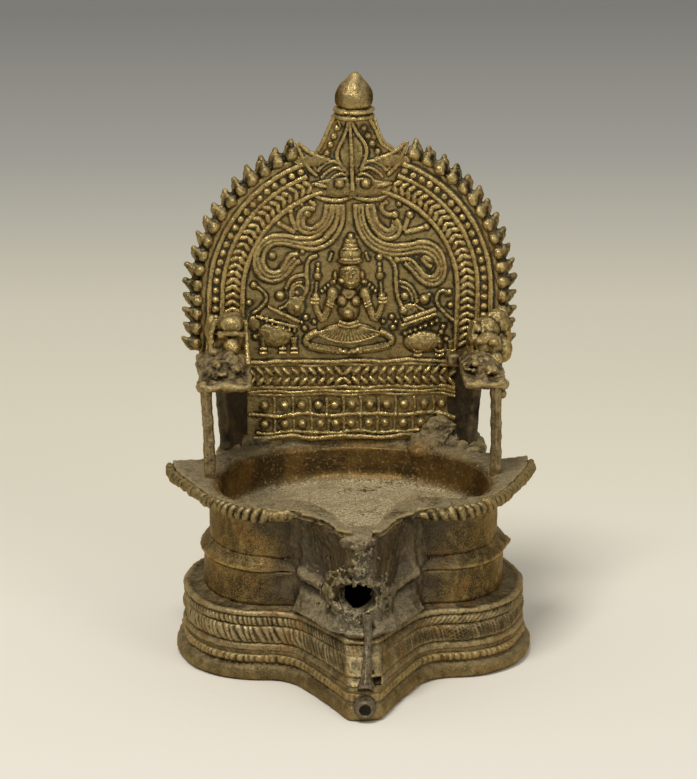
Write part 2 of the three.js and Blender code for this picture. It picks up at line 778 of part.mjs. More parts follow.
// A wax thread laid along points of the upright face, half sunk so that it can be cut flat behind
function thread(points, radius, stepLength = 3.4) {
  const path = new THREE.CatmullRomCurve3(points.map(([x, y]) => v3(x, y, 0.35 * radius)));
  const shape = new THREE.Shape().absarc(0, 0, radius, 0, 2 * Math.PI);
  const steps = Math.max(2, Math.round(path.getLength() / stepLength));
  const along = { extrudePath: path, steps, curveSegments: threadSides / 2, bevelEnabled: false };
  return new THREE.ExtrudeGeometry(shape, along);
}

// A small bead of wax pressed on the sheet, seen as a blunt six-sided dome
function bead(x, y, radius, height = radius) {
  const dome = new THREE.CylinderGeometry(0.45 * radius, radius, height, 6).rotateX(Math.PI / 2);
  return dome.translate(x, y, height / 2);
}

// Cuts a relief flat where it lies on the plate.
function laidFlat(body) {
  const size = 4 * plateTop;
  const behind = new THREE.BoxGeometry(size, size, size).translate(0, 0, -size / 2);
  return body.subtract(solid(behind));
}

// Figures are blocked out in modules of about a millimetre, from their own foot, then brought to size.
function inModules(body, module, x, y, z = 0) {
  return geometryOf(body.scale([module, module, module]).translate([x, y, z]));
}

// Lions: seated guardians on the arms, heads forward, backs against the plate
const lionHeight = 17.5;
const lionModules = 17.5;
const rightLionOut = 3; // the right lion sits this much further out on its arm than the left one
function armLion() {
  const body = joined([
    new THREE.BoxGeometry(11, 7, 10.5).translate(0, 3.5, 5.3),
    lump(0, 8, 6.8, 6, 5, 6.3),
    lump(0, 12.6, 8.3, 5.2, 4.8, 5.7),
    lump(0, 8.7, 12.8, 2.5, 3, 3.4),
    new THREE.BoxGeometry(8.6, 1.3, 3).translate(0, 11.2, 12.3),
    lump(-4.4, 16, 6.3, 1.5, 1.9, 1.8),
    lump(4.4, 16, 6.3, 1.5, 1.9, 1.8),
    lump(-2.7, 1.9, 12.8, 2.1, 1.8, 3),
    lump(2.7, 1.9, 12.8, 2.1, 1.8, 3),
  ]);
  const under = new THREE.BoxGeometry(40, 10, 60).translate(0, -5, 0);
  const standOff = 2 * reliefThickness;
  return inModules(body.subtract(solid(under)), lionHeight / lionModules, armX, armTop, standOff);
}
for (const [name, side] of [["arm_lion_left", -1], ["arm_lion_right", 1]]) {
  const mesh = piece(name, armLion(), brass);
  mesh.scale.x = side;
  mesh.position.x = side > 0 ? rightLionOut : 0;
  face.add(mesh);
}

// Points along a band of the arch on the right: up its straight side and round to an angle short of the top
const bandTopGap = 0.36; // radians between the bands' upper ends and the top of the arch
function bandPoint(radius, along, start) {
  const straight = archCentre - start;
  if (along <= straight) return { at: v2(radius, start + along), out: v2(1, 0), up: v2(0, 1) };
  const a = (along - straight) / radius;
  return {
    at: v2(radius * Math.cos(a), archCentre + radius * Math.sin(a)),
    out: v2(Math.cos(a), Math.sin(a)),
    up: v2(-Math.sin(a), Math.cos(a)),
  };
}
const bandLength = (radius, start) => archCentre - start + radius * (Math.PI / 2 - bandTopGap);

const maskGap = 0.46; // the inner thread stops here, short of the mask

// A strip of relief along a band. Each row gives the points across it as [out, along, height].
function bandStrip(radius, start, rows) {
  const sections = rows.map(({ along, across }) => {
    const points = across.map(([out, shift, height]) => {
      const frame = bandPoint(radius, along, start);
      const p = frame.at.clone().addScaledVector(frame.out, out).addScaledVector(frame.up, shift);
      return v3(p.x, p.y, height);
    });
    const first = points[0];
    const last = points.at(-1);
    return [v3(first.x, first.y, 0), ...points, v3(last.x, last.y, 0)];
  });
  return skin(sections);
}

const bandStart = armTop + clearance;
const chevronMiddle = fieldRadius + threadWidth / 2 + clearance + chevronBandWidth / 2;
const middleThreadRadius = chevronMiddle + chevronBandWidth / 2 + clearance + threadWidth / 2;
const beadMiddle = middleThreadRadius + threadWidth / 2 + clearance + beadBandWidth / 2;
const outerThreadRadius = beadMiddle + beadBandWidth / 2 + clearance + threadWidth / 2;

function chevronBand() {
  const pitch = 2.9;
  const count = Math.floor(bandLength(chevronMiddle, bandStart) / pitch) - 1;
  const half = chevronBandWidth / 2;
  const rows = [];
  for (let i = 0; i <= 2 * count; i++) {
    const high = i % 2 ? reliefThickness : reliefThickness * 0.45;
    rows.push({
      along: (i * pitch) / 2,
      across: [[-half, 0, high * 0.8], [0, 0.75 * pitch, high], [half, 0, high * 0.8]],
    });
  }
  return bandStrip(chevronMiddle, bandStart, rows);
}

function beadBand() {
  const pitch = 2.9;
  const count = Math.floor(bandLength(beadMiddle, bandStart) / pitch);
  const half = beadBandWidth / 2;
  const rows = [];
  for (let i = 0; i <= 2 * count; i++) {
    const high = i % 2 ? reliefThickness * 1.1 : reliefThickness * 0.4;
    rows.push({
      along: (i * pitch) / 2,
      across: [[-half, 0, reliefThickness * 0.3], [0, 0, high], [half, 0, reliefThickness * 0.3]],
    });
  }
  return bandStrip(beadMiddle, bandStart, rows);
}

function bandThread(radius, start, topGap = bandTopGap) {
  const rows = [];
  const straight = archCentre - start;
  const arc = Math.PI / 2 - topGap;
  const steps = 9;
  const half = threadWidth / 2;
  const across = [[-half, 0, half * 0.9], [0, 0, half * 1.9], [half, 0, half * 0.9]];
  rows.push({ along: 0, across });
  for (let i = 0; i <= steps; i++) rows.push({ along: straight + (radius * arc * i) / steps, across });
  return bandStrip(radius, start, rows);
}

// Flames: a row of pointed bulbs round the arch's edge, as deep as the plate
function flameBorder() {
  const radius = archRadius + clearance;
  const start = bandStart;
  const length = bandLength(radius, start);
  const rows = [];
  for (let i = 0; i <= 2 * flameCount; i++) {
    const flame = i % 2;
    const reach = flame ? flameLength : flameLength * 0.55;
    const bulge = flame ? 2.1 : 0.3;
    rows.push({
      along: (length * i) / (2 * flameCount),
      across: [[0, 0, flame ? 0.8 : 0.2], [reach * 0.4, 0, bulge], [reach, 0, flame ? 0.2 : 0]],
    });
  }
  const sections = rows.map(({ along, across }) => {
    const frame = bandPoint(radius, along, start);
    const points = across.map(([out, , height]) => {
      const p = frame.at.clone().addScaledVector(frame.out, out);
      return v3(p.x, p.y, height);
    });
    const first = points[0];
    const last = points.at(-1);
    return [v3(first.x, first.y, -plateThickness), ...points, v3(last.x, last.y, -plateThickness * 0.8)];
  });
  return skin(sections);
}

for (const [name, side] of [["left", -1], ["right", 1]]) {
  for (const [kind, geometry] of [
    ["inner_thread", bandThread(fieldRadius, bandStart, maskGap)],
    ["chevron_band", chevronBand()],
    ["middle_thread", bandThread(middleThreadRadius, bandStart)],
    ["bead_band", beadBand()],
    ["outer_thread", bandThread(outerThreadRadius, bandStart)],
    ["flame_border", flameBorder()],
  ]) {
    const mesh = piece(`${kind}_${name}`, leaned(geometry, side));
    mesh.scale.x = side;
    face.add(mesh);
  }
}

// Relief inside the arch. Its streams are placed by shares of the field's radius, under the mask.
// Its figures stand on the seat and share one module, so that they keep together when the field changes.
const fieldModules = 36.3;
const figureModules = 53.5;
const maskFoot = archCentre + 0.91 * fieldRadius;
const figureSeat = armTop - 0.8;
const figureModule = Math.min(fieldRadius / fieldModules, (maskFoot - figureSeat) / figureModules);

function fieldThread(stops, radius) {
  return thread(stops.map(([x, y]) => [x * fieldModules, y * fieldModules]), radius);
}

// Lion mask at the top of the field: leaf-shaped brow with two round eyes, a toothed lip and beaded neck
const maskModules = 26.8;
function lionMask() {
  const parts = [
    lump(0, 11.6, 0, 4.7, 8, 1.6),
    lump(0, 4.7, 0, 6.4, 3.4, 2.2),
    new THREE.BoxGeometry(28.4, 2.2, 2.6).translate(0, 1.1, 0.2),
    lump(0, 16.7, 0, 7.6, 9.4, 0.8),
  ];
  for (const side of [-1, 1]) {
    parts.push(
      lump(side * 4.4, 4.5, 0, 1.8, 1.8, 3),
      lump(side * 8.7, 4.4, 0, 3.4, 3, 1.5, side * 0.4),
      lump(side * 11.3, 3.6, 0, 1.8, 2.4, 1.9),
      lump(side * 14.5, 12.7, 0, 2, 7, 1.4, side * -0.55),
      lump(side * 10.2, 8, 0, 4.4, 2.2, 1.6, side * 0.9),
      thread([[side * 0.7, 6.5], [side * 4.4, 7.6], [side * 8, 6.5]], 0.9),
    );
    for (let i = 0; i < 4; i++) parts.push(bead(side * (4.5 + 0.9 * i), 24 - 3 * i, 1.7, 1.6));
  }
  const module = Math.min(archRadius / 50.3, (plateTop - maskFoot) / maskModules);
  return inModules(laidFlat(joined(parts)), module, 0, maskFoot);
}

// Streams of smoke or water that fall from the mask's mouth and curl outwards; the two sides differ
const leftStreams = {
  long: [
    [-0.06, 0.94], [-0.06, 0.73], [-0.155, 0.58], [-0.29, 0.54], [-0.43, 0.58], [-0.67, 0.6], [-0.78, 0.51],
    [-0.83, 0.39], [-0.81, 0.28], [-0.73, 0.22], [-0.63, 0.23], [-0.57, 0.31],
  ],
  inner: [[-0.2, 0.6], [-0.35, 0.45], [-0.5, 0.47], [-0.64, 0.5], [-0.72, 0.42], [-0.66, 0.33]],
  short: [[-0.137, 0.94], [-0.18, 0.77], [-0.32, 0.67], [-0.44, 0.68], [-0.46, 0.79], [-0.39, 0.85]],
  drops: [[-0.695, 0.42], [-0.39, 0.83], [-0.57, 0.63], [-0.48, 0.76]],
};
const rightStreams = {
  long: [
    [0.065, 0.94], [0.1, 0.71], [0.23, 0.56], [0.42, 0.5], [0.65, 0.51], [0.8, 0.46], [0.86, 0.35],
    [0.84, 0.23], [0.74, 0.17], [0.64, 0.22], [0.58, 0.31],
  ],
  inner: [[0.25, 0.56], [0.42, 0.44], [0.56, 0.43], [0.68, 0.42], [0.75, 0.35], [0.68, 0.28]],
  short: [[0.15, 0.94], [0.24, 0.74], [0.36, 0.62], [0.47, 0.64], [0.49, 0.73], [0.43, 0.79]],
  drops: [[0.72, 0.35], [0.43, 0.77], [0.55, 0.53], [0.53, 0.72]],
};

function streams({ long, inner, short, drops }) {
  const body = joined([
    fieldThread(long, 0.9),
    fieldThread(inner, 0.8),
    fieldThread(short, 1),
    fieldThread([long[1], short[1]], 0.8),
    ...drops.map(([x, y]) => bead(x * fieldModules, y * fieldModules, 2, 1.9)),
  ]);
  return inModules(laidFlat(body), fieldRadius / fieldModules, 0, maskFoot - 0.98 * fieldRadius);
}

// Goddess seated with crossed legs, a lotus in each raised hand, in a pleated skirt that fans out
function goddessFigure() {
  const parts = [
    lump(0, 27.5, 0, 4.7, 5.4, 3.6),
    lump(0, 34.4, 0, 5.3, 3.2, 3.2),
    lump(0, 37.4, 0, 4.2, 2.8, 2.6),
    lump(0, 40.4, 0, 2.6, 2.7, 1.9),
    lump(0, 21.5, 0, 3.4, 2.6, 2),
    lump(0, 20, 0, 7.6, 2.8, 2.4),
    lump(0, 15.5, 0, 4.8, 6.4, 2.8),
    lump(0, 11.6, 0, 5.6, 3, 2.6),
    lump(0, 6.9, 0, 15, 6.2, 1.5),
    lump(0, 3.9, 0, 12, 3.6, 3),
    lump(0, 1.7, 0, 4.2, 1.8, 3.2),
  ];
  for (const side of [-1, 1]) {
    const hand = v3(side * 9, 17.6, 1);
    const elbow = v3(side * 8.3, 12, 0.8);
    parts.push(
      lump(side * 2.2, 18.1, 1, 2.1, 2.1, 2.6),
      lump(side * 11.6, 4.3, 0, 3.9, 3.3, 2.4),
      bar(v3(side * 6.6, 20.2, 0.8), elbow, 1.7),
      bar(elbow, hand, 1.4),
      lump(side * 9, 17.6, 0, 1.8, 1.9, 2.2),
      bar(hand, v3(side * 9, 28, 0.6), 0.8),
      lump(side * 9, 29.2, 0, 1.8, 2.3, 1.8),
      lump(side * 4.6, 29.2, 0, 1.1, 1.5, 1.5),
    );
  }
  return inModules(laidFlat(joined(parts)), figureModule, 0, figureSeat);
}

// Elephants either side, backs outwards, with a fringed saddle cloth and the trunk raised
function elephantFigure() {
  const parts = [
    lump(-24.4, 8.6, 0, 6.2, 5, 2.9),
    new THREE.BoxGeometry(12, 4.4, 4.2).translate(-23.5, 13.8, 0.4),
    lump(-19, 18.1, 0, 3.6, 4.4, 3),
    lump(-20.8, 23.7, 0, 2, 2.9, 2),
    lump(-26.8, 17.2, 0, 2.6, 2.8, 1.8),
    thread([[-17.8, 16.3], [-14.5, 20.2], [-13.8, 25], [-14.2, 28.4], [-16, 30.5]], 1.5),
    thread([[-27.4, 17.2], [-29.4, 23.2], [-31.6, 21.5], [-31.8, 17.2], [-30.8, 14.2]], 0.9),
  ];
  for (const leg of [-28.8, -24, -19.8]) {
    parts.push(bar(v3(leg, 0.9, 0.6), v3(leg, 7.7, 0.6), 1.5), lump(leg, 1.1, 0, 1.9, 1, 2.2));
  }
  return inModules(laidFlat(joined(parts)), figureModule, 0, figureSeat);
}

face.add(
  piece("lion_mask", leaned(lionMask())),
  piece("stream_left", leaned(streams(leftStreams))),
  piece("stream_right", leaned(streams(rightStreams))),
  piece("goddess_figure", leaned(goddessFigure())),
);
for (const [name, side] of [["elephant_left", 1], ["elephant_right", -1]]) {
  const mesh = piece(name, leaned(elephantFigure(), side));
  mesh.scale.x = side;
  face.add(mesh);
}

// Seat: a band of leaves above, and two rows of square bosses below, between raised ridges
const seatTop = armBottom - 0.4;
const leafBandHeight = 9.2;
const ridgeWidth = 1.1;
const bandBack = 0.5; // thickness of the sheet of wax that carries a band's relief
const bossSize = 3.4;
const bossPitch = 5.9;

function ridge(y, halfWidth, lift = 1.5) {
  const half = ridgeWidth / 2;
  const crest = half / 2;
  const shape = new THREE.Shape([v2(-half, 0), v2(half, 0), v2(crest, lift), v2(-crest, lift)]);
  const strip = new THREE.ExtrudeGeometry(shape, { depth: 2 * halfWidth, bevelEnabled: false });
  return strip.rotateZ(Math.PI / 2).rotateY(Math.PI / 2).translate(-halfWidth, y, 0);
}

function bandSheet(low, high) {
  const sheet = new THREE.BoxGeometry(2 * seatHalfWidth - 2 * clearance, high - low, bandBack);
  return sheet.translate(0, (low + high) / 2, bandBack / 2);
}

function seatLeafBand() {
  const low = seatTop - leafBandHeight;
  const half = seatHalfWidth - 2 * clearance;
  const parts = [bandSheet(low, seatTop)];
  const ridges = [seatTop - ridgeWidth, seatTop - 2.4 * ridgeWidth, low + ridgeWidth];
  parts.push(...ridges.map((y) => ridge(y, half)));
  const middle = low + 0.44 * leafBandHeight;
  const pitch = 4.4;
  const length = 0.3 * leafBandHeight;
  for (let x = -half + pitch; x < half - 0.5 * pitch; x += pitch) {
    for (const row of [-1, 1]) {
      const leaf = new THREE.CylinderGeometry(0.9, 0.9, length, 4).scale(0.8, 1, 1);
      const lean = row * (x < 0 ? 0.7 : -0.7);
      parts.push(leaf.rotateZ(lean).translate(x, middle + row * 0.5 * length, 0.9));
    }
  }
  return joined(parts);
}

function seatBossPanel() {
  const low = rimTop + clearance;
  const high = seatTop - leafBandHeight - clearance;
  const half = seatHalfWidth - 2 * clearance;
  const span = high - low;
  const parts = [bandSheet(low, high)];
  for (const share of [0.05, 0.2, 0.5, 0.93]) parts.push(ridge(low + share * span, half));
  const count = Math.floor((2 * half) / bossPitch);
  for (const row of [0.35, 0.71]) {
    for (let i = 0; i < count; i++) {
      const x = (i - (count - 1) / 2) * bossPitch;
      parts.push(bead(x, low + row * span, bossSize / 2, 2));
    }
  }
  return joined(parts);
}
face.add(
  piece("seat_leaf_band", geometryOf(seatLeafBand())),
  piece("seat_boss_panel", geometryOf(seatBossPanel())),
);

// Finial: a ringed collar and a lotus bud over it, both threaded on the plate's pin
function lathed(profile) {
  return new THREE.LatheGeometry(profile.map(([x, y]) => v2(x, y)), 20).rotateX(Math.PI / 2);
}

function finialCollar() {
  const r = collarRadius;
  const h = collarRise;
  const bore = tenonRadius + clearance;
  return lathed([
    [bore, 0], [0.86 * r, 0], [r, 0.22 * h], [0.9 * r, 0.46 * h], [r, 0.7 * h],
    [0.8 * r, h], [bore, h], [bore, 0],
  ]).translate(0, plateFront + plateThickness / 2, plateTop);
}

function finialBud() {
  const r = budRadius;
  const h = budHeight;
  const bore = tenonRadius + clearance;
  const depth = tenonDepth + clearance;
  return lathed([
    [0, depth], [bore, depth], [bore, 0], [0.88 * r, 0], [0.98 * r, 0.16 * h], [r, 0.32 * h],
    [0.96 * r, 0.46 * h], [0.85 * r, 0.58 * h], [0.7 * r, 0.71 * h], [0.52 * r, 0.82 * h],
    [0.3 * r, 0.92 * h], [0, h],
  ]).translate(0, plateFront + plateThickness / 2, plateTop + collarRise);
}
lamp.add(
  piece("finial_collar", leaned(finialCollar(), 1, "getZ")),
  piece("finial_bud", leaned(finialBud(), 1, "getZ")),
);

// The origin is the middle of the footprint, between the foot's back and the nozzle's end.
lamp.position.y = (footNose + 0.6 - footRadius) / 2;

export default lamp;
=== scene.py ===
"""A cast brass throne lamp: a keyhole pedestal and oil pan with a spout, and an arched figured back.

Every piece is modelled in millimetres about the middle of its round drum, front towards -Y, and brought to
metres in the row's frame when it is finished.
"""

import math

import bpy
import numpy as np
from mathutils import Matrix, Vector
from mathutils.kdtree import KDTree


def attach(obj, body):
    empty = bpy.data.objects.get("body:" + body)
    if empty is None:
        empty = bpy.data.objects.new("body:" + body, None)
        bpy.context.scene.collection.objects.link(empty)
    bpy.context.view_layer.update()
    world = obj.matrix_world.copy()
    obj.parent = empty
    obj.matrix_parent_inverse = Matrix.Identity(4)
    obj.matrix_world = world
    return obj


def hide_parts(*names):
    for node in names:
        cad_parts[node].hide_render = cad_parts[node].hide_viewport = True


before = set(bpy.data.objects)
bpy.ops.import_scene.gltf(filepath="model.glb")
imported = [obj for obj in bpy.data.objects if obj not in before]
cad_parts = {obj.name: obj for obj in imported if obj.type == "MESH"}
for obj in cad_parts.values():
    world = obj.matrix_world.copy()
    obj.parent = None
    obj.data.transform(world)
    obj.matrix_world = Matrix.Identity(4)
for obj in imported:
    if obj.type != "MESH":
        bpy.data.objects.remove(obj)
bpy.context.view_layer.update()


# ---- The studio: a pale sweep of paper with a painted falloff of light that greys it with distance, one
# broad soft lamp at the upper left and a weaker one at the right. The camera is a long lens a little left of
# the middle and well above the rim.
scene = bpy.context.scene
scene.view_settings.view_transform = "Standard"

AIM = Vector((-0.0013, 0.0212, 0.0863))
bpy.ops.object.camera_add(location=(-0.0931, -2.1016, 0.6573))
camera = bpy.context.object
camera.rotation_euler = (AIM - camera.location).to_track_quat("-Z", "Y").to_euler()
camera.data.lens = 306.2
camera.data.sensor_width = 36
scene.camera = camera


def soft_lamp(name, place, size, watts, colour):
    bpy.ops.object.light_add(type="AREA", location=place)
    lamp = bpy.context.object
    lamp.name = name
    lamp.rotation_euler = (Vector((0, 0, 0.08)) - lamp.location).to_track_quat("-Z", "Y").to_euler()
    lamp.data.size = size
    lamp.data.energy = watts
    lamp.data.color = colour


soft_lamp("window_lamp", (-0.38, -0.65, 1.7), 0.6, 22.6, (1, 0.985, 0.965))
soft_lamp("fill_lamp", (0.9, -1.2, 0.9), 0.7, 5, (1, 0.99, 0.97))

world = bpy.data.worlds.new("studio_air")
world.use_nodes = True
world.node_tree.nodes["Background"].inputs["Color"].default_value = (0.5, 0.5, 0.49, 1)
scene.world = world


class Signal:
    """A value on its way through a material. Sums and products on it add their Math nodes."""

    def __init__(self, tree, socket):
        self.tree, self.socket = tree, socket

    def node(self, kind, settings, sockets, output=0):
        """Adds any other node: its settings first, a ramp's stops among them, then its sockets."""
        node = self.tree.nodes.new(kind)
        for name, value in settings.items():
            if name == "stops":
                while len(node.color_ramp.elements) < len(value):
                    node.color_ramp.elements.new(0.5)
                for stop, (place, colour) in zip(node.color_ramp.elements, value):
                    stop.position = place
                    stop.color = (*colour, 1)
            else:
                setattr(node, name, value)
        for name, value in sockets.items():
            if isinstance(value, Signal):
                self.tree.links.new(value.socket, node.inputs[name])
            elif isinstance(value, tuple) and len(value) == 3 and node.inputs[name].type == "RGBA":
                node.inputs[name].default_value = (*value, 1)
            else:
                node.inputs[name].default_value = value
        return Signal(self.tree, node.outputs[output])

    def math(self, operation, first, second, clamp=False):
        settings = {"operation": operation, "use_clamp": clamp}
        return self.node("ShaderNodeMath", settings, {0: first, 1: second})

    def __add__(self, other):
        return self.math("ADD", self, other)

    def __sub__(self, other):
        return self.math("SUBTRACT", self, other)

    def __rsub__(self, other):
        return self.math("SUBTRACT", other, self)

    def __mul__(self, other):
        return self.math("MULTIPLY", self, other)

    __radd__, __rmul__ = __add__, __mul__

    def above(self, low, high):
        """0 under low, 1 over high and a soft step between."""
        return self.node(
            "ShaderNodeMapRange",
            {"interpolation_type": "SMOOTHSTEP"},
            {"Value": self, "From Min": low, "From Max": high},
        )

    def blend(self, under, over):
        """The colour under where this value is 0, and over where it is 1."""
        return self.node(
            "ShaderNodeMix", {"data_type": "RGBA"}, {0: self, 6: under, 7: over}, output=2
        )


def new_material(name):
    material = bpy.data.materials.new(name)
    material.use_nodes = True
    tree = material.node_tree
    shader = tree.nodes["Principled BSDF"]
    place = tree.nodes.new("ShaderNodeTexCoord").outputs["Object"]
    return material, tree, shader, Signal(tree, place)


bpy.ops.mesh.primitive_plane_add(size=40, location=(0, 0, 0))
floor = bpy.context.object
floor.name = "paper_sweep"
paper, tree, shader, place = new_material("pale_paper")
depth = place.node("ShaderNodeSeparateXYZ", {}, {0: place}, output=1)
# The paper darkens with distance: a painted falloff of the light on the pale paper.
PAPER_TONES_WITH_PAINTED_FALLOFF = [
    (0.0, (0.695, 0.65, 0.562)),
    (0.16, (0.72, 0.673, 0.562)),
    (0.32, (0.673, 0.627, 0.5)),
    (0.51, (0.612, 0.575, 0.458)),
    (0.74, (0.38, 0.37, 0.333)),
    (1.0, (0.252, 0.246, 0.229)),
]
share = depth.node("ShaderNodeMapRange", {}, {"Value": depth, "From Min": -0.12, "From Max": 1.05})
tone = share.node("ShaderNodeValToRGB", {"stops": PAPER_TONES_WITH_PAINTED_FALLOFF}, {0: share})
tree.links.new(tone.socket, shader.inputs["Base Color"])
shader.inputs["Roughness"].default_value = 0.9
shader.inputs["Specular IOR Level"].default_value = 0.2
floor.data.materials.append(paper)


# ---- Pedestal foot: a hollow brass casting, a smooth roll that the lamp stands on. Wax threads were laid
# round the model before casting, and every moulding runs out to the spout's long nose at the front.
FOOT, FOOT_NOSE = 59, 85
TIER, TIER_NOSE_TOP, TIER_NOSE_FOOT = 56.5, 68, 80
AXIS_TO_ORIGIN = 13.3


def put_down():
    """Nothing selected, and no piece open in edit mode."""
    if bpy.context.object and bpy.context.object.mode != "OBJECT":
        bpy.ops.object.mode_set(mode="OBJECT")
    bpy.ops.object.select_all(action="DESELECT")


def pick_up(*pieces):
    put_down()
    for piece in pieces:
        piece.select_set(True)
    bpy.context.view_layer.objects.active = pieces[0]
    return pieces[0]


def points_of(piece, what="vertices", field="co"):
    found = getattr(piece.data, what)
    values = np.empty(len(found) * 3)
    found.foreach_get(field, values)
    return values.reshape(-1, 3)


def move_points(piece, points):
    piece.data.vertices.foreach_set("co", np.asarray(points, float).ravel())
    piece.data.update()


def joined(pieces):
    """Several pieces made one mesh, which keeps their place."""
    piece = pick_up(*pieces)
    bpy.ops.object.transform_apply(location=True, rotation=True, scale=True)
    if len(pieces) > 1:
        bpy.ops.object.join()
    return piece


def on_whole(piece, operator, **settings):
    """Runs one edit operator on all of a piece."""
    pick_up(piece)
    bpy.ops.object.mode_set(mode="EDIT")
    bpy.ops.mesh.select_all(action="SELECT")
    operator(**settings)
    bpy.ops.object.mode_set(mode="OBJECT")
    return piece


def drawn_out(rings, closed=False):
    """A circle is extruded once for each ring, and then every ring is pressed to its own outline."""
    rings = np.asarray(rings, float)
    count = rings.shape[1]
    put_down()
    fill = "NOTHING" if closed else "NGON"
    bpy.ops.mesh.primitive_circle_add(vertices=count, radius=1, fill_type=fill, location=(0, 0, 0))
    piece = bpy.context.object
    bpy.ops.object.mode_set(mode="EDIT")
    bpy.ops.mesh.select_mode(type="EDGE")
    bpy.ops.mesh.select_all(action="SELECT")
    for _ in rings[1:]:
        bpy.ops.mesh.extrude_edges_move(TRANSFORM_OT_translate={"value": (0, 0, 1)})
    if not closed:
        bpy.ops.mesh.edge_face_add()
    bpy.ops.object.mode_set(mode="OBJECT")
    tube = points_of(piece)
    turn = np.arctan2(tube[:, 1], tube[:, 0]) / (2 * np.pi) * count
    move_points(piece, rings[np.rint(tube[:, 2]).astype(int), np.rint(turn).astype(int) % count])
    if closed:
        on_whole(piece, bpy.ops.mesh.remove_doubles, threshold=0.0005)
    return on_whole(piece, bpy.ops.mesh.normals_make_consistent, inside=False)


def curve_points(kind, stops, count):
    """Points along a quadratic or cubic pull, the first left out."""
    t = np.linspace(0, 1, count + 1)[1:, None]
    if kind == "quadratic":
        a, b, c = stops
        return (1 - t) ** 2 * a + 2 * t * (1 - t) * b + t**2 * c
    a, b, c, d = stops
    return (1 - t) ** 3 * a + 3 * t * (1 - t) ** 2 * b + 3 * t**2 * (1 - t) * c + t**3 * d


OUTLINE_PARTS = {"back": 338, "lobe": 98, "notch": 40, "flank": 106, "tip": 18}


def body_outline(radius, nose, fineness=1.0):
    """The lamp's outline from above: round at the back, two lobes in front, and a pointed nose between."""
    root = 0.66 * radius
    near = lambda x, y: np.array((x * radius, -y * radius))
    far = lambda x, share: np.array((x * radius, -(root + share * (nose - root))))
    parts = {name: max(2, round(count * fineness)) for name, count in OUTLINE_PARTS.items()}
    turn = np.pi / 2 - np.linspace(0, np.arctan2(0.31, 0.95) + np.pi / 2, parts["back"] + 1)
    back = radius * np.column_stack((np.cos(turn), np.sin(turn)))
    lobe = curve_points(
        "cubic", (back[-1], near(0.885, 0.52), near(0.74, 0.66), near(0.53, 0.66)), parts["lobe"]
    )
    notch = curve_points("quadratic", (near(0.53, 0.66), near(0.42, 0.66), far(0.34, 0.16)), parts["notch"])
    flank_stops = (far(0.34, 0.16), far(0.25, 0.42), far(0.15, 0.74), far(0.095, 0.965))
    flank = curve_points("cubic", flank_stops, parts["flank"])
    tip = flank[-1] + np.linspace(0, 1, parts["tip"] + 1)[1:, None] * (np.array((0, -nose)) - flank[-1])
    half = np.vstack((back, lobe, notch, flank, tip))
    line = np.vstack((half, (half[1:-1] * (-1, 1))[::-1]))
    for _ in range(round(30 * fineness**2)):
        line = (np.roll(line, 1, 0) + 2 * line + np.roll(line, -1, 0)) / 4
    return line


def way_along(line):
    """Length run at each point of a closed line."""
    steps = np.linalg.norm(np.roll(line, -1, 0) - line, axis=1)
    return np.concatenate(([0], np.cumsum(steps)[:-1])), steps.sum()


def outward(line):
    """Unit normals of a closed line that runs clockwise seen from above."""
    along = np.roll(line, -1, 0) - np.roll(line, 1, 0)
    normal = np.column_stack((-along[:, 1], along[:, 0]))
    return normal / np.linalg.norm(normal, axis=1)[:, None]


def moulding(profile, press=None, fineness=1.0):
    """Rings for a moulding: (radius, nose, height) for each level, pressed outwards where a pattern says."""
    rings = []
    for radius, nose, height in profile:
        line = body_outline(radius, nose, fineness)
        if press:
            run, whole = way_along(body_outline(TIER, TIER_NOSE_TOP, fineness))
            line = line + outward(line) * press(run, whole, height)[:, None]
        rings.append(np.column_stack((line, np.full(len(line), height))))
    return np.array(rings)


def displaced(piece, clouds, depth, middle, group=""):
    """Moves a piece's skin in and out by a pattern of clouds."""
    pick_up(piece)
    bpy.ops.object.modifier_add(type="DISPLACE")
    wave = piece.modifiers[-1]
    wave.texture, wave.strength, wave.mid_level, wave.vertex_group = clouds, depth, middle, group
    bpy.ops.object.modifier_apply(modifier=wave.name)


def handmade(piece, depth, grain, seed=0.0):
    """The slight waves that fingers and files left in the wax."""
    clouds = bpy.data.textures.new("wax_waves", "CLOUDS")
    clouds.noise_scale, clouds.noise_depth = grain, 2
    move_points(piece, points_of(piece) + seed)
    displaced(piece, clouds, depth, 0.5)
    move_points(piece, points_of(piece) - seed)
    return piece


def one_casting(pieces, grain, softening=1):
    """Joins wax pieces into one casting, as they melt together, and softens the joints."""
    piece = joined(pieces)
    piece.data.remesh_voxel_size = grain
    bpy.ops.object.voxel_remesh()
    bpy.ops.object.modifier_add(type="SMOOTH")
    smooth = piece.modifiers[-1]
    smooth.factor, smooth.iterations = 0.5, 2 * softening
    bpy.ops.object.modifier_apply(modifier=smooth.name)
    return piece


def keep_values(piece, name, values):
    """Keeps a value from 0 to 1 at each point, for the material to read."""
    kept = piece.data.attributes.new(name, "FLOAT", "POINT")
    kept.data.foreach_set("value", np.clip(values, 0, 1).astype(np.float32))


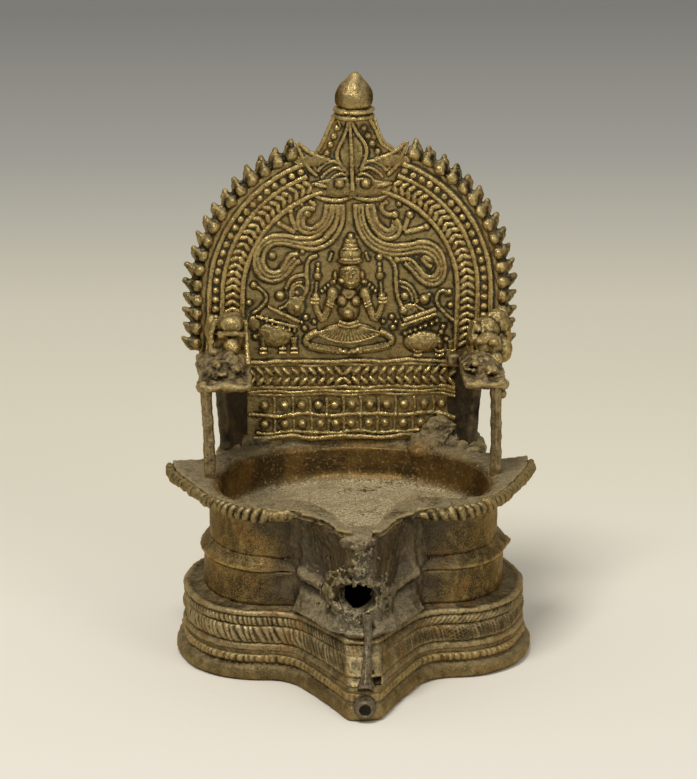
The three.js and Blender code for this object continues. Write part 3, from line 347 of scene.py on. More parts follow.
def mark_wear(piece, lift=None, fine=0.45, broad=1.4):
    """Keeps at each point how far it stands out: ridges are rubbed bright and hollows keep their dirt."""
    points, normals = points_of(piece), points_of(piece, "vertices", "normal")
    ends = np.empty(len(piece.data.edges) * 2, int)
    piece.data.edges.foreach_get("vertices", ends)
    a, b = ends.reshape(-1, 2).T
    count = len(points)
    neighbours = np.maximum(np.bincount(a, minlength=count) + np.bincount(b, minlength=count), 1)
    gap = points[a] - points[b]
    square = np.maximum((gap**2).sum(1), 1e-4)
    bend = np.bincount(a, 2 * (gap * normals[a]).sum(1) / square, count)
    bend -= np.bincount(b, 2 * (gap * normals[b]).sum(1) / square, count)
    bend = np.clip(bend / neighbours, -3, 3)
    share_after = {2: fine, 23: broad}
    spread = 0
    for step in range(24):
        near = (np.bincount(a, bend[b], count) + np.bincount(b, bend[a], count)) / neighbours
        bend = 0.5 * (bend + near)
        if step in share_after:
            spread = spread + bend * share_after[step]
    if lift is not None:
        spread = spread + lift(points)
    keep_values(piece, "wear", 0.5 + 0.5 * spread)


def finished(piece, name, node, material, lift=None, fine=0.45):
    """Brings a piece to metres in the row's frame, gives it its finish and puts it in place of its node."""
    mark_wear(piece, lift, fine)
    move_points(piece, (points_of(piece) + (0, AXIS_TO_ORIGIN, 0)) * 0.001)
    piece.name = name
    pick_up(piece)
    bpy.ops.object.shade_smooth()
    piece.data.materials.clear()
    piece.data.materials.append(material)
    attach(piece, "root")
    for one in [node] if isinstance(node, str) else node:
        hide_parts(one)
    return piece


def old_brass(name, gold, body, hollow, metal=0.72, rough=0.5, dust=0.5, soot=0.0, green=0.0, rust=0.35,
              soot_shadow_and_sheen=False, oiled_inside=False):
    """Worn old brass: gold where it is rubbed, brown on the open faces, dark dirt in the hollows, dust on
    what faces up, soot, verdigris or a red-brown patina where the piece has any. At the front of a drum the
    soot is joined by a painted shadow under the rim and painted highlights on oily patches."""
    material, tree, shader, place = new_material(name)
    noise = lambda scale, detail=4, rough=0.55: place.node(
        "ShaderNodeTexNoise", {}, {"Vector": place, "Scale": scale, "Detail": detail, "Roughness": rough}
    )
    kept = lambda name: place.node("ShaderNodeAttribute", {"attribute_name": name}, {}, output=2)
    axis = lambda number, of=place: place.node("ShaderNodeSeparateXYZ", {}, {0: of}, output=number)
    patches, mottling, specks, grain = noise(60), noise(330), noise(1050, 3), noise(2600, 2)
    wear = kept("wear")
    worn = wear + (mottling - 0.5) * 0.7 + (patches - 0.5) * 0.55 + (specks - 0.5) * 0.5
    colour = worn.above(0.12, 0.5).blend(hollow, body)
    colour = worn.above(0.46, 0.92).blend(colour, gold)
    patina, dark_speck = (0.21, 0.105, 0.03), tuple(0.3 * c for c in body)
    warm = (noise(140, 5) + (patches - 0.5) * 0.5).above(0.5, 0.68) * rust
    colour = warm.blend(colour, patina)
    colour = (specks.above(0.5, 0.66) * 0.6).blend(colour, dark_speck)
    colour = (grain.above(0.5, 0.66) * worn.above(0.1, 0.5) * 0.5).blend(colour, gold)
    if soot_shadow_and_sheen:
        soot_and_shadow_black, oil_brown_and_painted_sheen = (0.052, 0.047, 0.038), (0.19, 0.145, 0.08)
        aside = axis(0).math("ABSOLUTE", axis(0), 0) + (patches - 0.5) * 0.03
        front = 1 - axis(1).above(-0.02, 0.0)
        # Soot darkens the front's middle. Just under the rim the dark band is widened as a painted shadow beneath
        # the rim's overhang.
        painted_shadow_under_rim = axis(2).above(0.045, 0.052) * 0.009
        soot_and_rim_shadow = (1 - (aside - painted_shadow_under_rim).above(0.016, 0.04)) * front
        soot_and_rim_shadow = soot_and_rim_shadow * (patches * 1.3 + mottling + specks * 0.6).above(0.8, 1.6)
        colour = (soot_and_rim_shadow * 0.85).blend(colour, soot_and_shadow_black)
        # Lighter brown patches on the front below the rim: partly oil stains, partly a painted sheen of light on
        # the oil.
        oil_patches_and_painted_sheen = noise(110, 3).above(0.52, 0.68) * front * (1 - aside.above(0.02, 0.035))
        colour = (oil_patches_and_painted_sheen * (1 - axis(2).above(0.04, 0.05)) * 0.6).blend(colour, oil_brown_and_painted_sheen)
    if soot:
        colour = ((patches + mottling).above(0.65, 1.25) * soot).blend(colour, (0.036, 0.033, 0.028))
    up = axis(2, place.node("ShaderNodeNewGeometry", {}, {}, output=1))
    lying = (patches + mottling + specks * 0.5).above(1.3 - 0.6 * dust, 1.7 - 0.45 * dust)
    dusty = up.above(0.3, 0.95) * lying * dust
    if oiled_inside:
        oil_light, oil_dark, oil_crumb = (0.17, 0.10, 0.03), (0.075, 0.048, 0.018), (0.34, 0.24, 0.11)
        ahead = axis(1) - 0.001 * AXIS_TO_ORIGIN
        reach = ahead.math("SQRT", axis(0) * axis(0) + ahead * ahead, 0) + (patches - 0.5) * 0.003
        oily = (1 - reach.above(0.0458, 0.0478)) * axis(2).above(0.0448, 0.0466) * ahead.above(-0.028, -0.02)
        colour = oily.blend(colour, noise(95, 5, 0.65).above(0.42, 0.6).blend(oil_light, oil_dark))
        colour = (oily * specks.above(0.56, 0.66) * 0.7).blend(colour, oil_crumb)
        dusty = dusty * (1 - oily * 0.85)
    paleness = 1.32 if dust == 1 else 0.74
    dust_dark, dust_pale = (0.15, 0.112, 0.058), tuple(paleness * c for c in (0.42, 0.345, 0.2))
    dust_tone = (specks * 0.35 + grain * 0.65).above(0.4, 0.6).blend(dust_dark, dust_pale)
    dust_tone = ((patches + mottling * 0.6).above(0.76, 1.0) * 0.55).blend(dust_tone, (0.17, 0.125, 0.06))
    colour = dusty.blend(colour, dust_tone)
    crust, crust_pale, crust_black = kept("crust"), (0.33, 0.28, 0.17), (0.012, 0.01, 0.008)
    colour = (crust * specks.above(0.4, 0.54)).blend(colour, crust_pale)
    colour = (crust * (mottling + specks).above(1.02, 1.14)).blend(colour, crust_black)
    if green:
        verdigris = (0.11, 0.13, 0.085)
        colour = ((noise(170) + (0.5 - wear) * 0.3).above(0.56, 0.74) * green).blend(colour, verdigris)
    tree.links.new(colour.socket, shader.inputs["Base Color"])
    shader.inputs["Specular IOR Level"].default_value = 0.25
    shader.inputs["Specular Tint"].default_value = (0.8, 0.62, 0.36, 1)
    bare_metal = metal * 0.7 if soot else metal
    metallic = (1 - dusty) * bare_metal
    tree.links.new(metallic.socket, shader.inputs["Metallic"])
    roughness = rough + (mottling - 0.5) * 0.3 + (specks - 0.5) * 0.4 + dusty * 0.35 - worn.above(
        0.55, 0.9
    ) * 0.08
    tree.links.new(roughness.socket, shader.inputs["Roughness"])
    skin = mottling * 0.5 + specks * 0.55 + grain * 0.3
    bump = place.node("ShaderNodeBump", {}, {"Strength": 0.9, "Distance": 0.0005, "Height": skin})
    tree.links.new(bump.socket, shader.inputs["Normal"])
    return material


worn_brass = old_brass("worn_brass", (0.36, 0.26, 0.108), (0.112, 0.081, 0.035), (0.012, 0.009, 0.006))

FOOT_INSIDE = TIER - 3
FOOT_INSIDE_NOSE = TIER_NOSE_FOOT - 3.9
roll = [(FOOT - inset, FOOT_NOSE - inset, z) for inset, z in (
    (2.2, 0), (1.3, 0.2), (0.6, 0.8), (0.1, 1.7), (0, 2.7), (0.2, 3.7), (0.8, 4.6), (1.7, 5.2), (2.7, 5.4),
    (3.1, 5.8), (3.0, 8.6), (2.7, 10),
)]
roll += [(FOOT_INSIDE, FOOT_INSIDE_NOSE, z) for z in (10, 5, 0.6)]
roll += [(FOOT - 4, FOOT_NOSE - 6, 0), roll[0]]
foot = drawn_out(moulding(roll, fineness=0.6), closed=True)
handmade(foot, 0.8, 9)
handmade(foot, 0.35, 2.5)
finished(foot, "foot_roll", "pedestal_foot", worn_brass)


# ---- Bead row on the foot's neck: a thread of wax with small beads pressed up out of it, cast in one with
# the foot. The dents between the beads hold old dirt.
def beads_pressed(pitch, height, low, high, lean=0.0):
    """Rounded beads round a moulding, their outward swell at each point of the line."""
    middle, half = (low + high) / 2, (high - low) / 2

    def press(run, whole, z):
        number = round(whole / pitch)
        uneven = 0.16 * np.sin(run * 0.9 + low) + 0.12 * np.sin(run * 0.37)
        lean_here = lean * np.where(run < whole / 2, 1.2, -0.3)
        phase = (run / whole * number + uneven + lean_here * (z - middle) / pitch) % 1
        rise = np.sqrt(np.clip(1 - ((z - middle) / half) ** 2, 0, 1))
        rubbed = np.clip(0.85 + 0.25 * np.sin(run * 0.11 + low) + 0.2 * np.sin(run * 0.29 + 2 * low), 0.35, 1)
        nose_end = np.clip(np.abs(run / whole - 0.5) * 11, 0.1, 1)
        return height * rubbed * nose_end * np.sqrt(np.clip(1 - (2 * phase - 1) ** 2, 0, 1)) * rise

    return press


bead_levels = np.linspace(5.9, 8.5, 9)
neck = [(FOOT - 3.0, FOOT_NOSE - 3.0, z) for z in bead_levels]
inside = [(FOOT - 4.2, FOOT_NOSE - 4.2, z) for z in (8.5, 5.9)]
rings = moulding(neck, beads_pressed(2.3, 1.5, 5.8, 8.6))
rings = np.vstack((rings, moulding(inside), rings[:1]))
foot_beads = drawn_out(rings, closed=True)
handmade(foot_beads, 0.5, 2.5)
finished(foot_beads, "foot_beads", "foot_bead_row", worn_brass, fine=1.0)


# ---- Pedestal tier: a shallow hollow drum cast in brass, with a rope moulding under a rolled lip and a
# dusty sloping ledge round the drum. Its nose leans forward under the spout.
TIER_TOP = 24
DRUM, BEAK_NOSE = 49.8, 66.8


def tier_nose(z):
    """How far the nose reaches at a height."""
    return TIER_NOSE_TOP + (TIER_TOP - z) / 14 * 12


def cut_with(piece, cutter, operation):
    """Saws a piece with another, which is then put away."""
    pick_up(piece)
    bpy.ops.object.modifier_add(type="BOOLEAN")
    saw = piece.modifiers[-1]
    saw.operation = operation
    saw.solver = "EXACT"
    saw.object = cutter
    bpy.ops.object.modifier_apply(modifier=saw.name)
    bpy.data.objects.remove(cutter)
    return piece


rope_brass = old_brass(
    "rubbed_rope_brass", (0.375, 0.285, 0.135), (0.074, 0.055, 0.027), (0.007, 0.005, 0.003), green=0.2,
    dust=0.35, rust=0.6,
)
UPPER_ROPE = (18.4, 21.4)
twisted_ribs = beads_pressed(1.7, 1.35, *UPPER_ROPE, lean=0.9)


def tier_press(run, whole, z):
    return twisted_ribs(run, whole, z) if UPPER_ROPE[0] < z < UPPER_ROPE[1] else np.zeros(len(run))


side = [(TIER - inset, z) for inset, z in (
    (0.2, 10.0), (-0.1, 10.4), (-0.1, 11.4), (0.2, 12.0), (1.3, 12.3), (1.5, 13.5), (1.5, 17.2), (1.2, 18.0),
    *((1.0, z) for z in (18.45, 18.8, 19.2, 19.6, 20.0, 20.4, 20.8, 21.2)), (0.9, 21.5), (0.2, 21.7),
    (-0.1, 22.1), (-0.1, 22.6), (0.3, 23.1), (1.0, 23.35), (1.7, 23.25), (2.3, 23.0), (3.4, 23.1),
)]
side += [(DRUM + 1.6, 23.5), (DRUM + 0.3, 23.9), (DRUM - 1.2, 24.0)]
profile = [(radius, tier_nose(z) + (radius - TIER), z) for radius, z in side]
profile += [
    (DRUM - 3, BEAK_NOSE - 4.5, 24.0), (DRUM - 3, BEAK_NOSE - 4.5, 22.2),
    (FOOT_INSIDE - 1.5, tier_nose(21.6) - 4.5, 19.5), (FOOT_INSIDE, FOOT_INSIDE_NOSE, 14.0),
    (FOOT_INSIDE, FOOT_INSIDE_NOSE, 10.0), (TIER - 0.2, tier_nose(10) - 0.2, 10.0),
]
tier = drawn_out(moulding(profile, tier_press), closed=True)
handmade(tier, 0.8, 8)
handmade(tier, 0.3, 2.2)


def away(points, middle, size=1):
    """How far each point is from a place, in sizes."""
    return np.linalg.norm((points - np.asarray(middle)) / size, axis=1)


def leak_slot(points):
    """Low on the nose's right side the oil has eaten a slot into the wall: 1 inside it, 0 outside."""
    return np.clip(1.6 - 1.6 * away(points, (4.7, -78, 12.6), (1.7, 6, 3.6)), 0, 1)


# Painted shade: the inside of the slot is painted dark.
def painted_shade_in_slot(points):
    return -6 * (away(points, (4.2, -76, 12.6), (1.8, 4.5, 3.4)) < 1)


shape = points_of(tier)
move_points(tier, shape + leak_slot(shape)[:, None] * (-0.6, 4.5, 0))
finished(tier, "tier_casting", "pedestal_tier", rope_brass, painted_shade_in_slot, fine=0.9)

rope_levels = np.linspace(12.5, 18.2, 11)
rope = [(TIER - 1.1, tier_nose(z) - 1.1, z) for z in rope_levels]
core = [(TIER - 2.2, tier_nose(z) - 2.2, z) for z in (18.2, 12.5)]
rings = moulding(rope, beads_pressed(2.3, 1.6, 12.3, 18.4, lean=1.5))
rings = np.vstack((rings, moulding(core), rings[:1]))
tier_rope = drawn_out(rings, closed=True)
handmade(tier_rope, 0.6, 3)
finished(tier_rope, "tier_rope", "tier_rope_row", rope_brass, fine=1.1)


# ---- Lower drum and its collar: a plain brass wall from the tier up to the raised thread where the pan's
# casting is seated. The front is left open for the beak.
DRUM_TOP = 35.3
PAN, PAN_INSIDE = 47.8, 45
BEAK_HALF, BEAK_BACK = 21.36, -14.3


def beak_block(more=0.0):
    """The block of space that the beak fills, from the pan's middle forward."""
    put_down()
    size = (2 * (BEAK_HALF + more), 120, 140)
    bpy.ops.mesh.primitive_cube_add(size=1, location=(0, BEAK_BACK - 60 + max(0, more), 40), scale=size)
    return joined([bpy.context.object])


def rising(value, start, over):
    """0 up to the start, and 1 once it is over."""
    return np.clip((value - start) / over, 0, 1)


def fading(value, end, over):
    """1 until it begins to fade, and 0 from the end on."""
    return np.clip((end - value) / over, 0, 1)


def sunk_ends(piece):
    """The wall's ends slip in behind the beak's edges, as the wax was lapped before casting."""
    shape, normals = points_of(piece), points_of(piece, "vertices", "normal")
    lap = 1.1 * fading(np.abs(shape[:, 0]), 24, 4) * (shape[:, 1] < 0) * (np.abs(normals[:, 2]) < 0.75)
    move_points(piece, shape - lap[:, None] * normals * (0.3, 1, 0))
    return piece


wall = [(DRUM, BEAK_NOSE, z) for z in np.linspace(TIER_TOP, DRUM_TOP, 12)]
wall += [(DRUM - 3, BEAK_NOSE - 3, z) for z in (DRUM_TOP, TIER_TOP)]
drum = drawn_out(moulding(wall + wall[:1], fineness=0.5), closed=True)
cut_with(drum, beak_block(-2), "DIFFERENCE")
sunk_ends(drum)
handmade(drum, 1.0, 11)
handmade(drum, 0.35, 3)
drum_brass = old_brass(
    "brown_drum_brass", (0.46, 0.31, 0.11), (0.058, 0.039, 0.015), (0.005, 0.003, 0.002), rough=0.4, dust=0.4,
    rust=0.7, soot_shadow_and_sheen=True,
)
finished(drum, "drum_wall", "lower_drum", drum_brass)

thread = [
    (DRUM, 35.3), (DRUM + 0.7, 35.5), (DRUM + 1.1, 35.9), (DRUM + 1.1, 36.5), (DRUM + 0.6, 36.9),
    (DRUM + 0.5, 37.3), (DRUM - 0.2, 38.1), (DRUM - 1.1, 39.0), (DRUM - 1.8, 39.6), (PAN, 40.0),
    (PAN_INSIDE - 0.3, 40.0), (PAN_INSIDE - 0.3, 35.3), (DRUM, 35.3),
]
profile = [(radius, BEAK_NOSE + min(0, radius - DRUM), z) for radius, z in thread]
collar = drawn_out(moulding(profile, fineness=0.6), closed=True)
cut_with(collar, beak_block(-2), "DIFFERENCE")
shape = points_of(collar)
sunk = fading(np.abs(shape[:, 0]), 31, 8) * (shape[:, 1] < 0)
shape[:, 1] += sunk * (1.2 + 0.5 * (shape[:, 2] > 38))
torn = np.clip(1 - away(shape, (50.5, -3, 36.3)) / 5, 0, 1)
shape += torn[:, None] * (1.6, 0, 0.8)
move_points(collar, shape)
handmade(collar, 0.9, 7)
handmade(collar, 0.4, 2.5)
finished(collar, "seam_collar", "drum_collar", drum_brass)


# ---- Oil pan: the upper drum and its floor, one brass casting, with a spigot that drops inside the collar.
# Old oil and dust lie on the floor, and the wall inside is stained golden brown.
pan_brass = old_brass(
    "dusty_pan_brass", (0.46, 0.31, 0.11), (0.058, 0.039, 0.015), (0.005, 0.003, 0.002), dust=1.0,
    rough=0.4, rust=0.55, soot_shadow_and_sheen=True, oiled_inside=True,
)
FLOOR_TOP = 44.7
PAN_NOSE = BEAK_NOSE - 2


def lip_floor(y):
    """Height of the spout's floor, which climbs from the pan to the lip."""
    return FLOOR_TOP + 10.6 * rising(-y, 31.5, BEAK_NOSE - 33) ** 1.3


inside = PAN_INSIDE - 0.6
profile = [(0, 0, 41.7), (15, 20, 41.7), (30, 40, 41.7), (inside - 2.8, PAN_NOSE - 6, 41.7)]
profile += [(inside - 2.8, PAN_NOSE - 6, 37.6), (inside, PAN_NOSE - 3, 37.6), (inside, PAN_NOSE - 3, 40)]
profile += [(PAN, PAN_NOSE, z) for z in np.linspace(40, 52.4, 12)]
profile += [(PAN - 0.4, PAN_NOSE - 0.4, 53)]
profile += [(PAN_INSIDE + 1, PAN_NOSE - 2.6, z) for z in (53, 56)]
profile += [(PAN_INSIDE + 0.2, PAN_NOSE - 3, 56.4), (PAN_INSIDE - 0.3, PAN_NOSE - 3.2, 55.8)]
profile += [(PAN_INSIDE - 0.3, PAN_NOSE - 3.2, z) for z in np.linspace(55, 47.6, 8)]
profile += [(PAN_INSIDE - 0.9, PAN_NOSE - 3.8, 46.4), (PAN_INSIDE - 2.2, PAN_NOSE - 5, 45.3)]
FLOOR_RINGS = (42, 38, 33, 28, 23, 18, 13, 8, 4, 0)
profile += [(radius, radius * 1.35, FLOOR_TOP) for radius in FLOOR_RINGS]
pan = drawn_out(moulding(profile, fineness=0.5))
cut_with(pan, beak_block(-2), "DIFFERENCE")
sunk_ends(pan)
handmade(pan, 0.7, 9)
finished(pan, "oil_pan_casting", "oil_pan", pan_brass)


# ---- Beak: the pointed front of the drum, cast with the spout's floor inside it. Years of burning wicks have
# sooted it, and the wall has corroded through in a rough hole over the nose.
HOLE = np.array((-2.0, -BEAK_NOSE, 35.6))


def lump_of_wax(place, size, turn=0.0, tilt=0.0):
    """A rounded lump, pressed to its three half sizes and turned in the plane of the back plate."""
    put_down()
    bpy.ops.mesh.primitive_uv_sphere_add(
        segments=16, ring_count=10, radius=1, location=place, rotation=(tilt, turn, 0), scale=size
    )
    return bpy.context.object


def crusted(piece, middle, reach, depth, grain):
    """Corrosion round a place: the surface is eaten into pits and grains, deepest at the middle."""
    strength = np.clip(1 - away(points_of(piece), middle) / reach, 0, 1) ** 0.7
    group = piece.vertex_groups.new(name="corroded")
    for index in np.flatnonzero(strength > 0.01):
        group.add([int(index)], float(strength[index]), "REPLACE")
    pitting = bpy.data.textures.new("pitting", "CLOUDS")
    pitting.noise_scale, pitting.noise_depth, pitting.noise_type = grain, 3, "HARD_NOISE"
    displaced(piece, pitting, depth, 0.35, group.name)
    piece.vertex_groups.clear()
    return piece


def ridge(value, middle, width):
    """A soft ridge, 1 at its middle."""
    return np.exp(-(((value - middle) / width) ** 2))


profile = [
    (0, 0, -3), (15, 20, -3), (30, 40, -3), (PAN_INSIDE, PAN_NOSE - 4, -3), (PAN_INSIDE, PAN_NOSE - 4, 24)
]
profile += [(DRUM, BEAK_NOSE, z) for z in np.arange(24, 35.4, 0.55)]
profile += [(DRUM - share * 2, BEAK_NOSE - share * 2, 35.3 + 4.7 * share) for share in np.linspace(0.1, 1, 9)]
profile += [(PAN, PAN_NOSE - share, 40 + 15 * share) for share in np.linspace(0.08, 1, 16)]
profile += [
    (PAN - 0.6, PAN_NOSE - 2, 55.4), (PAN_INSIDE, PAN_NOSE - 4.5, 55), (PAN_INSIDE, PAN_NOSE - 4.5, 1.0)
]
profile += [(43.6, PAN_NOSE - 5.6, 0.2)]
profile += [(radius, radius * 1.32, 0) for radius in FLOOR_RINGS]
rings = moulding(profile)
floor_rings = rings[:, :, 2] < 5
rings[:, :, 2] += np.where(floor_rings, lip_floor(rings[:, :, 1]), 0)
beak = drawn_out(rings)
cut_with(beak, beak_block(2.5), "INTERSECT")
bpy.ops.mesh.primitive_ico_sphere_add(subdivisions=3, radius=1, location=(0, 0, 0))
plug = bpy.context.object
move_points(plug, points_of(plug) * (7.0, 12, 5.3) + HOLE)
handmade(plug, 2.6, 2.2)
cut_with(beak, plug, "DIFFERENCE")
shape, normals = points_of(beak), points_of(beak, "vertices", "normal")
aside, level = np.abs(shape[:, 0]), shape[:, 2]
front = rising(-shape[:, 1], 32, 3) * (level < 54) * (np.abs(normals[:, 2]) < 0.6)
front *= fading(aside, BEAK_HALF - 0.3, 3) ** 1.5
low = fading(level, 34, 10)
pleat = -3.4 * ridge(aside, 12.5, 3.2) + 1.6 * ridge(aside, 17.5, 2)
pleat *= fading(level, 53, 14) * (0.8 + 0.25 * np.sign(shape[:, 0]) * np.sin(level * 0.2)) * (1 - low)
spread = 6 * low ** 2 * rising(aside, 2, 4)
above_fold = level - (37.2 - 7 * fading(aside, 21, 12) ** 1.3)
fold = 1.7 * ridge(above_fold, 0, 1.3) - 1.2 * ridge(above_fold, -3.2, 1.8)
fold *= rising(aside, 8, 4)
shape += (front * (pleat + spread + fold))[:, None] * normals * (1, 1, 0)
shape[:, 1] += front * 2.2 * ridge(aside, 6, 3.2) * (1 - low)
move_points(beak, shape)
handmade(beak, 1.8, 13)
# Crumbs of crust are scattered round the hole, and one in four in a streak from there up to the lip.
rng = np.random.default_rng(5)
crumbs = [beak]
for number in range(330):
    turn, reach = rng.uniform(0, 2 * np.pi), rng.gamma(1.6, 1.3)
    if number % 4 == 0:
        x, z = rng.normal(-0.5, 1.8), rng.uniform(40, 54)
    else:
        x, z = HOLE[0] + 0.6 + (7.7 + reach) * np.cos(turn), HOLE[2] - 0.5 + (6.2 + reach) * np.sin(turn)
    size = rng.uniform(0.35, 0.95) * (1.2 if reach < 2 else 0.8)
    back = -BEAK_NOSE + 0.5 + 1.25 * max(0, abs(x) - 2.5)
    if z < 54.5 and abs(x) < 14:
        crumb = (size, size * rng.uniform(0.7, 1.4), size * rng.uniform(0.7, 1.3))
        crumbs.append(lump_of_wax((x, back, z), crumb))
crumbs.append(lump_of_wax((-1.2, -62.2, 54), (6.2, 3.2, 2.6)))
crumbs.append(lump_of_wax((0, -66.2, 24.4), (6.5, 4, 1.8)))
beak = one_casting(crumbs, 0.42)
handmade(beak, 0.7, 1.8)
crusted(beak, HOLE, 12, 2.2, 1.3)
crusted(beak, (0, -BEAK_NOSE, 49), 9, 1.5, 1.1)
shape, normals = points_of(beak), points_of(beak, "vertices", "normal")
near_hole = 1.5 - away(shape, HOLE) / 9.5
near_lip = 1.1 - np.linalg.norm((shape - (0, -BEAK_NOSE, 46)) * (1.5, 1, 0.6), axis=1) / 6
keep_values(beak, "crust", np.maximum(near_hole, near_lip))
lap = 1.2 * rising(np.abs(shape[:, 0]), 20.5, 3) * (np.abs(normals[:, 0]) < 0.9) * (
    np.abs(normals[:, 2]) < 0.75
)
move_points(beak, shape - lap[:, None] * normals * (0.3, 1, 0))
beak_brass = old_brass(
    "crusted_beak_brass", (0.38, 0.27, 0.115), (0.085, 0.062, 0.03), (0.008, 0.006, 0.004), rough=0.36,
    dust=0.9,
    rust=0.55, soot_shadow_and_sheen=True,
)
finished(beak, "spout_beak_casting", "spout_beak", beak_brass, lambda points: 0.35)


# ---- Strut and nozzle: a drip of brass left standing down the nose from under the hole, and a short tube
# with a bore cast into the foot's tip, both black with old oil. The bore's end is also painted dark as its shade.
def thread_of_wax(points, radius, thickness=None, fineness=2):
    """A rolled thread of wax along a line of points, thicker or thinner at each if that is given."""
    put_down()
    bpy.ops.curve.primitive_bezier_curve_add(location=(0, 0, 0))
    curve = bpy.context.object
    line = curve.data.splines[0]
    line.bezier_points.add(len(points) - 2)
    for number, (knot, point) in enumerate(zip(line.bezier_points, points)):
        knot.co = point
        knot.handle_left_type = knot.handle_right_type = "AUTO"
        knot.radius = thickness[number] if thickness else 1
    line.resolution_u = 6
    curve.data.bevel_depth = radius
    curve.data.bevel_resolution = fineness
    curve.data.use_fill_caps = True
    bpy.ops.object.convert(target="MESH")
    return bpy.context.object


oily_brass = old_brass(
    "oil_blackened_brass", (0.20, 0.155, 0.09), (0.05, 0.04, 0.026), (0.012, 0.01, 0.008), rough=0.36,
    dust=0.3, soot=0.4,
)
stand_off = 1.9
strut_line = [
    (0.2, -(tier_nose(10) + stand_off), 9.8), (0.6, -(tier_nose(14) + stand_off + 0.2), 14),
    (1.4, -(TIER_NOSE_TOP + stand_off + 2), 21), (1.6, -(BEAK_NOSE + stand_off), 28),
    (1.6, -BEAK_NOSE - 0.6, 31),
]
strut = one_casting([thread_of_wax(strut_line, 1.6, (1.8, 1.1, 0.8, 0.95, 1.3))], 0.3, 2)
handmade(strut, 0.9, 2.2)
finished(strut, "nose_drip", "nose_strut", oily_brass)


def full_turn(count):
    return np.linspace(0, 2 * np.pi, count, endpoint=False)


NOZZLE_HEIGHT = 4.5
turn = full_turn(48)
nozzle_rings = [
    np.column_stack((radius * np.cos(turn), np.full(48, y), NOZZLE_HEIGHT + radius * np.sin(turn)))
    for radius, y in (
        (0.02, -80.6), (1.7, -80.7), (1.8, -85.9), (2.2, -86.2), (2.8, -85.8), (3.2, -85.0), (3.6, -84.0),
        (4.0, -81), (4.0, -78.5), (3.0, -77.4), (0.02, -77.3),
    )
]
# A shallow plug just inside the bore's mouth, painted dark across the bore: old oil, and painted shade of the
# bore.
oil_plug_and_painted_shade = lump_of_wax((0, -85.1, NOZZLE_HEIGHT), (2.0, 0.5, 2.0))
nozzle = one_casting([drawn_out(nozzle_rings), oil_plug_and_painted_shade], 0.3)
handmade(nozzle, 0.7, 2.6)
bore_oil_and_painted_shade = lambda points: -4.0 * (np.hypot(points[:, 0], points[:, 2] - NOZZLE_HEIGHT) < 1.75)
finished(nozzle, "foot_nozzle_tube", "foot_nozzle", oily_brass, bore_oil_and_painted_shade)


# ---- Leaf rim: the pan's flat rim, spread at each side into a pointed wing and folded at the front into two
# lips that meet over the spout. Rolled threads edge it, and dust lies thick on its top.
def smooth_line(stops, step):
    """A line through its stops, its points a step apart."""
    stops = np.array(stops, float)
    ends = np.vstack((2 * stops[0] - stops[1], stops, 2 * stops[-1] - stops[-2]))
    t = np.linspace(0, 1, 24, endpoint=False)[:, None]
    parts = []
    for a, b, c, d in zip(ends, ends[1:], ends[2:], ends[3:]):
        square, cube = 2 * a - 5 * b + 4 * c - d, 3 * b - a - 3 * c + d
        parts.append(0.5 * (2 * b + (c - a) * t + square * t**2 + cube * t**3))
    dense = np.vstack((*parts, stops[-1:]))
    run = np.concatenate(([0], np.cumsum(np.linalg.norm(np.diff(dense, axis=0), axis=1))))
    at = np.linspace(0, run[-1], max(3, round(run[-1] / step) + 1))
    return np.column_stack([np.interp(at, run, dense[:, k]) for k in range(dense.shape[1])])


def arc_line(radius, start, stop, step):
    turn = np.linspace(start, stop, max(3, round(abs(stop - start) * radius / step)))
    return np.column_stack((radius * np.cos(turn), radius * np.sin(turn)))


LEAF_EDGE = PAN * np.array([
    (0.065, -1.31), (0.134, -1.27), (0.2, -1.09), (0.275, -0.94), (0.408, -0.84), (0.523, -0.813),
    (0.649, -0.8), (0.816, -0.722), (0.97, -0.52), (1.067, -0.34), (1.2, 0.02), (1.285, 0.29), (1.303, 0.53),
])
LIP_EDGE = PAN * np.array([
    (0.64, -0.505), (0.52, -0.505), (0.432, -0.525), (0.325, -0.61), (0.25, -0.735), (0.195, -0.88),
    (0.157, -1.05), (0.1, -1.26),
])
WING_ROOT = np.array((51.1, 23.4))
WALL_TOP, RIM_TOP = 53, 58.3
RIBBED = 2.8
edge_line = smooth_line(LEAF_EDGE, 0.8)
edge_run = np.linspace(0, 1, len(edge_line))
edge_way = np.gradient(edge_line, axis=0)
edge_way /= np.linalg.norm(edge_way, axis=1)[:, None]
inward = np.column_stack((-edge_way[:, 1], edge_way[:, 0]))
leaf_line = edge_line + inward * (RIBBED * rising(edge_run, 0.22, 0.08))[:, None]
back_flange = arc_line(56.8, np.arctan2(WING_ROOT[1], WING_ROOT[0]) + 0.08, np.pi / 2, 1.2)
inner_edge = np.vstack((arc_line(PAN_INSIDE, np.pi / 2, -0.5, 1.2), smooth_line(LIP_EDGE, 0.8)[1:]))
right_half = np.vstack((leaf_line, WING_ROOT, back_flange[:-1]))
mirrored = lambda line: (line * (-1, 1))[::-1]
outline = np.vstack((right_half, ((0, 56.8),), mirrored(right_half), mirrored(inner_edge)[:-1], inner_edge))


def slab(outline, low, high):
    """A flat sheet of wax, cut to an outline seen from above."""
    level = lambda z: np.column_stack((outline, np.full(len(outline), z)))
    return drawn_out([level(low), level(high)])


def at_height(line, z):
    return [(x, y, z) for x, y in line]


